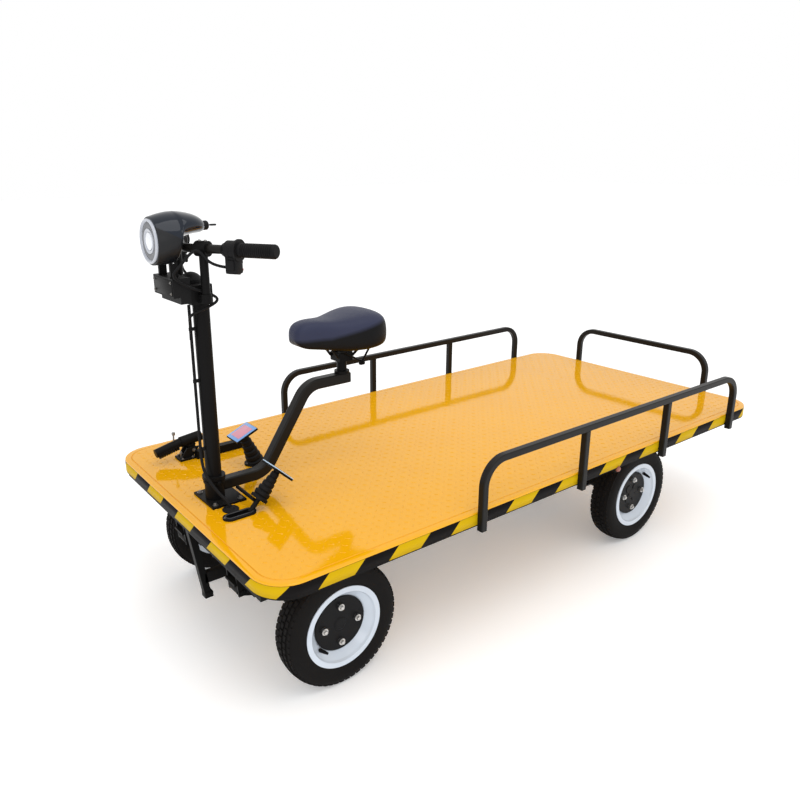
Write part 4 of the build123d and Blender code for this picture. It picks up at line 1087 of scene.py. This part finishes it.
# %% Pedal pads
film_blue = finish("pedal blue film", (0.05, 0.20, 0.58), (0.26, 0.46, 0.74), 0.25, coat=0.3,
                   ripple_scale=60, bump=0.2, dusty=0.05)
edge_blue = finish("pedal pale edge", (0.42, 0.58, 0.74), (0.52, 0.66, 0.80), 0.3, dusty=0.05)
panel_red = finish("pedal red panel", (0.56, 0.10, 0.15), (0.70, 0.42, 0.52), 0.3, dusty=0.05)


def tread_piece(name, node, pitch, blocks, material):
    """Blocks built flat at the origin and turned onto a tread; a positive pitch lifts its front.

    Each block is: middle x and y, length, width, foot and top over the tread, and its soft edge."""
    bm = bmesh.new()
    for x, y, length, width, foot, top, soft in blocks:
        half = Vector((length / 2, width / 2, 0))
        add_block(bm, Vector((x, y, tread_top + foot)) - half, Vector((x, y, tread_top + top)) + half, soft)
    turn = Matrix.Translation(box_middle(node)) @ Matrix.Rotation(-radians(pitch), 4, "Y")
    bmesh.ops.transform(bm, matrix=turn, verts=bm.verts[:])
    make_piece(name, bm, "chassis", material)


tread_top = 0.003
left_long, left_wide, left_pitch = 0.071, 0.070, 43.0
right_long, right_wide, right_pitch = 0.077, 0.070, -23.0
ribs, rib_pitch, rib_long, edge_wide = 7, 0.0088, 0.0056, 0.0044
blocks = [((rib - (ribs - 1) / 2) * rib_pitch, 0, rib_long, left_wide - 0.012, -0.001, 0.003, 0.0008)
          for rib in range(ribs)]
tread_piece("left_tread_ribs", "left_pedal", left_pitch, blocks, soft_rubber)
blocks = []
for way in (-1, 1):
    blocks += [(0, way * (left_wide - edge_wide) / 2, left_long, edge_wide, -0.0015, 0.0022, 0.0006),
               (way * (left_long - edge_wide) / 2, 0, edge_wide, left_wide - 2 * edge_wide, -0.0015,
                0.0022, 0.0006)]
tread_piece("left_tread_edge", "left_pedal", left_pitch, blocks, edge_blue)
film_block = (0, 0, right_long - 0.002, right_wide - 0.002, -0.001, 0.0012, 0.0008)
tread_piece("right_tread_film", "right_pedal", right_pitch, [film_block], film_blue)
panel_block = (0, 0, right_long - 0.024, right_wide - 0.020, 0.0, 0.0018, 0.0006)
tread_piece("right_tread_panel", "right_pedal", right_pitch, [panel_block], panel_red)
print("treads pitched", left_pitch, "and", right_pitch, "degrees")

# %% Slot rim, painted shadow in the slot, and pedal plate screws
slot_y = box_middle("left_pedal").y
slot_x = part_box("left_pedal_boot")[1].x - 0.048
slot_top = deck_top + 0.005
slot_long, slot_wide, slot_corner, rim_wide = 0.084, 0.028, 0.0139, 0.0035
slot_grey = finish("slot rim grey", (0.030, 0.030, 0.032), (0.045, 0.045, 0.048), 0.42, dusty=0.05,
                   shine=0.3)
bm = bmesh.new()
rounded_grid(bm, slot_x, slot_top - 0.001, slot_long, slot_wide, slot_corner, 10, slot_y)
bmesh.ops.inset_region(bm, faces=bm.faces[:], thickness=rim_wide, use_boundary=True)
slot_middle = Vector((slot_x, slot_y, slot_top))
inner = min(bm.faces, key=lambda face: (face.calc_center_median() - slot_middle).length)
bmesh.ops.delete(bm, geom=[inner], context="FACES")
raise_sheet(bm, 0.0026)
make_piece("slot_rim", bm, "chassis", slot_grey)
# a near-black sheet inside the slot rim is painted shadow where the slot opens into the deck
slot_dark = finish("slot shadow", (0.0010, 0.0010, 0.0011), (0.0016, 0.0016, 0.0016), 0.8, dusty=0.0,
                   shine=0.02)
bm = bmesh.new()
rounded_grid(bm, slot_x, slot_top - 0.0005, slot_long - 2 * rim_wide, slot_wide - 2 * rim_wide,
             slot_corner - rim_wide, 10, slot_y)
raise_sheet(bm, 0.0010)
make_piece("slot_painted_shadow", bm, "chassis", slot_dark)
right_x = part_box("right_pedal_boot")[0].x
right_y = box_middle("right_pedal").y
places = [(slot_x - 0.0435, slot_y, slot_top), (slot_x + 0.0435, slot_y, slot_top),
          (right_x + 0.006, right_y, slot_top), (right_x + 0.066, right_y, slot_top)]
bolt_piece("pedal_plate_screws", "chassis", places, (0, 0, 1), 0.0042)
print("slot at", round(slot_x, 3), round(slot_y, 3))

# %% [markdown]
# ## Hand brake
# The parking brake lies low on the right of the deck: a rubber grip on a thicker sleeve between two
# cheeks, with its pivot bolt, a stop screw and a small upright pin. Only these small things and the
# rings of the grip are added here.

# %% Brake bolts and grip rings
lever_low, lever_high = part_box("brake_lever")
plate_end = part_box("brake_bracket")[1].x
brake_y = (lever_low.y + lever_high.y) / 2
bm = bmesh.new()
pivot = Vector((lever_low.x + 0.035, brake_y, deck_top + 0.027))
for way in (1, -1):
    add_bolt(bm, pivot + Vector((0, way * 0.016, 0)), (0, way, 0), 0.0075)
for x in (plate_end - 0.009, plate_end - 0.043):
    for way in (1, -1):
        add_bolt(bm, (x, brake_y + way * 0.0195, deck_top + 0.006), (0, 0, 1), 0.0058)
stop = Vector((plate_end - 0.012, brake_y, deck_top))
add_rod(bm, stop + Vector((0, 0, 0.006)), stop + Vector((0, 0, 0.024)), 0.0035)
add_bolt(bm, stop + Vector((0, 0, 0.018)), (0, 0, 1), 0.0075)
pin_top = Vector((plate_end + 0.0073, brake_y, deck_top + 0.088))
add_rod(bm, pin_top + Vector((0.0025, 0, -0.038)), pin_top, 0.0028, 16)
add_rod(bm, pin_top - Vector((0, 0, 0.002)), pin_top + Vector((0, 0, 0.006)), 0.0056, 20)
make_piece("brake_bolts", bm, "chassis", dull_steel)
bm = bmesh.new()
fall = Vector((-0.0840, 0, 0.0190)).normalized()
grip_end = Vector((lever_high.x - 0.008, brake_y, lever_high.z - 0.0498))
rings, ring_pitch, ring_long, ring_radius = 9, 0.0078, 0.0042, 0.0148
for ring in range(rings):
    start = grip_end + fall * (0.004 + ring * ring_pitch)
    add_rod(bm, start, start + fall * ring_long, ring_radius, 28)
make_piece("brake_grip_rings", bm, "chassis", soft_rubber)
print("brake lever", round(lever_high.x - lever_low.x, 3), "m long")

# %% [markdown]
# ## Underneath
# Under the deck hang the tow post, the leaf springs in their shackles with U-bolts round the axles,
# the motor with its cooling fins and the battery box with its lid and straps. They are seldom seen,
# so each gets only the shapes that tell what it is.

# %% Tow post and spring shackles
post_low, post_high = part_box("axle_strut")
post_thick = 0.020
beam_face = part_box("frame_crossmembers")[1].x


def add_bar(bm, start, end, thick):
    """A square bar between two points, with its faces square to the cart."""
    run = Vector(end) - Vector(start)
    spot = Matrix.Translation((Vector(start) + Vector(end)) / 2) @ turned_to(run)
    bmesh.ops.create_cube(bm, size=1.0, matrix=spot @ Matrix.Diagonal((thick, thick, run.length, 1)))


bm = bmesh.new()
foot = Vector((beam_face - 0.054, 0, post_low.z))
add_bar(bm, (beam_face - 0.016, 0, post_high.z), foot, post_thick)
strut_z = box_middle("front_axle").z + 0.034
add_block(bm, (post_low.x + 0.002, -post_thick / 2, strut_z - 0.022),
          (beam_face - 0.045, post_thick / 2, strut_z + 0.012), 0.002)
add_block(bm, (foot.x - 0.013, -0.013, foot.z), (foot.x + 0.013, 0.013, foot.z + 0.018), 0.002)
post = make_piece("tow_post", bm, "chassis", frame_paint)
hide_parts("axle_strut")

hang_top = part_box("spring_hangers")[1].z
spring_lines = (-0.170, 0.170)
eye, eye_below, cheek_out = 0.014, 0.012, 0.0275
eye_rows = []
for end in ("front", "rear"):
    spring_low, spring_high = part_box(f"{end}_springs")
    eye_rows += [(spring_low.x + eye, spring_high.z - eye), (spring_high.x - eye, spring_high.z - eye)]
bm = bmesh.new()
for eye_x, eye_z in eye_rows:
    for spring_y in spring_lines:
        for y in (spring_y - cheek_out, spring_y + cheek_out):
            spot = Matrix.Translation((eye_x, y, (hang_top + eye_z - eye_below) / 2))
            spot = spot @ Matrix.Diagonal((0.046, 0.006, hang_top - eye_z + eye_below, 1))
            cheek = bmesh.ops.create_cube(bm, size=1.0, matrix=spot)["verts"]
            foot_edge = [vert for vert in cheek if vert.co.z < eye_z]
            bmesh.ops.scale(bm, verts=foot_edge, vec=(0.5, 1, 1), space=Matrix.Translation((-eye_x, 0, 0)))
        add_block(bm, (eye_x - 0.022, spring_y - cheek_out, eye_z + 0.022),
                  (eye_x + 0.022, spring_y + cheek_out, eye_z + 0.028))
        add_rod(bm, (eye_x, spring_y - 0.036, eye_z), (eye_x, spring_y + 0.036, eye_z), 0.006)
shackles = make_piece("spring_shackles", bm, "chassis", frame_paint)
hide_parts("spring_hangers")
print("tow post foot at z", round(post_low.z, 3), "and", 2 * len(eye_rows), "shackles")

# %% U-bolts, motor fins and battery straps
leaf_pack, bolt_off, bolt_radius = 0.0296, 0.034, 0.0045
bm = bmesh.new()
for end in ("front", "rear"):
    axle_x = box_middle(f"{end}_axle").x
    pack_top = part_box(f"{end}_springs")[0].z + leaf_pack
    low_z = box_middle("front_axle").z - bolt_off
    for spring_y in spring_lines:
        for x in (axle_x - bolt_off, axle_x + bolt_off):
            for y in (spring_y - 0.027, spring_y + 0.027):
                add_rod(bm, (x, y, low_z), (x, y, pack_top + 0.004), bolt_radius, 12)
            bow = Vector((x, spring_y, pack_top + bolt_radius))
            add_rod(bm, bow - Vector((0, 0.031, 0)), bow + Vector((0, 0.031, 0)), bolt_radius, 12)
        add_block(bm, (axle_x - 0.044, spring_y - 0.034, low_z),
                  (axle_x + 0.044, spring_y + 0.034, low_z + 0.006), 0.001)
make_piece("spring_u_bolts", bm, "chassis", dull_steel)
motor_low, motor_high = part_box("drive_motor")
motor_middle = (motor_low + motor_high) / 2
motor_radius = (motor_high.z - motor_low.z) / 2
fins, fin_start, fin_pitch, fin_thick = 9, 0.040, 0.0125, 0.004
fin_foot, fin_tip, cap_radius = motor_radius - 0.004, motor_radius + 0.007, motor_radius + 0.0015
fin_outline = ((0.0, fin_foot), (0.0, fin_tip), (fin_thick, fin_tip), (fin_thick, fin_foot))
cap_outline = ((0.0, 0.0), (0.0, 0.050), (0.006, motor_radius - 0.010), (0.020, cap_radius),
               (0.026, cap_radius), (0.026, 0.0))
bm = bmesh.new()
for fin in range(fins):
    y = motor_low.y + fin_start + fin * fin_pitch
    lathe(bm, fin_outline, (0, 1, 0), (motor_middle.x, y, motor_middle.z), 48, closed=True)
lathe(bm, cap_outline, (0, 1, 0), (motor_middle.x, motor_low.y - 0.0005, motor_middle.z), 48)
make_piece("motor_fins", bm, "chassis", alloy)
case_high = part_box("gear_case")[1]
case_x, case_circle = case_high.x - 0.065, 0.050
turns = [radians(angle) for angle in range(0, 360, 60)]
places = [(case_x + case_circle * cos(turn), case_high.y, motor_middle.z + case_circle * sin(turn))
          for turn in turns]
bolt_piece("gear_case_bolts", "chassis", places, (0, 1, 0), 0.009, steel)
pack_low, pack_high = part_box("battery_box")
lid_out, strap_half, strap_thick = 0.003, 0.016, 0.002
bm = bmesh.new()
add_block(bm, (pack_low.x - lid_out, pack_low.y - lid_out, pack_high.z - 0.026),
          (pack_high.x + lid_out, pack_high.y + lid_out, pack_high.z - 0.018), 0.001)
for share in (0.22, 0.78):
    x = pack_low.x + share * (pack_high.x - pack_low.x)
    foot = pack_low.z - strap_thick
    for y in (pack_low.y - 0.0015, pack_high.y - 0.0005):
        add_block(bm, (x - strap_half, y, foot), (x + strap_half, y + strap_thick, pack_high.z), 0.0005)
    add_block(bm, (x - strap_half, pack_low.y - 0.0015, foot),
              (x + strap_half, pack_high.y + 0.0015, pack_low.z), 0.0005)
make_piece("battery_straps", bm, "chassis", column_paint)
print("battery box", round(pack_high.x - pack_low.x, 3), "m long")

# %% [markdown]
# ## Side markers
# A small amber marker sits under the skirt on each side, on a black tab that hangs from the skirt's
# foot. The photo shows the left one. The solids' own markers, further back, are painted black.

# %% Side markers
marker_amber = finish("marker amber", (0.15, 0.028, 0.014), (0.28, 0.085, 0.05), 0.25, ripple_scale=160)
dress("side_markers", column_paint)
marker_x, marker_y, marker_z = deck_middle - 0.2113, deck_high.y - 0.002, deck_low.z - 0.003
tab_half, tab_in, tab_out = 0.0105, deck_high.y - 0.010, deck_high.y - 0.0015
marker_outline = ((0.0, 0.0), (0.0, 0.0092), (0.004, 0.0092), (0.007, 0.007), (0.0082, 0.0))
bm = bmesh.new()
for way in (1, -1):
    lathe(bm, marker_outline, (0, way, 0), (marker_x, way * marker_y, marker_z), 28)
make_piece("amber_markers", bm, "chassis", marker_amber)
bm = bmesh.new()
for near, far in ((tab_in, tab_out), (-tab_out, -tab_in)):
    add_block(bm, (marker_x - tab_half, near, marker_z - tab_half),
              (marker_x + tab_half, far, deck_low.z + 0.004), 0.0012)
make_piece("marker_tabs", bm, "chassis", frame_paint)
print("markers under the skirt at z", round(marker_z, 3))
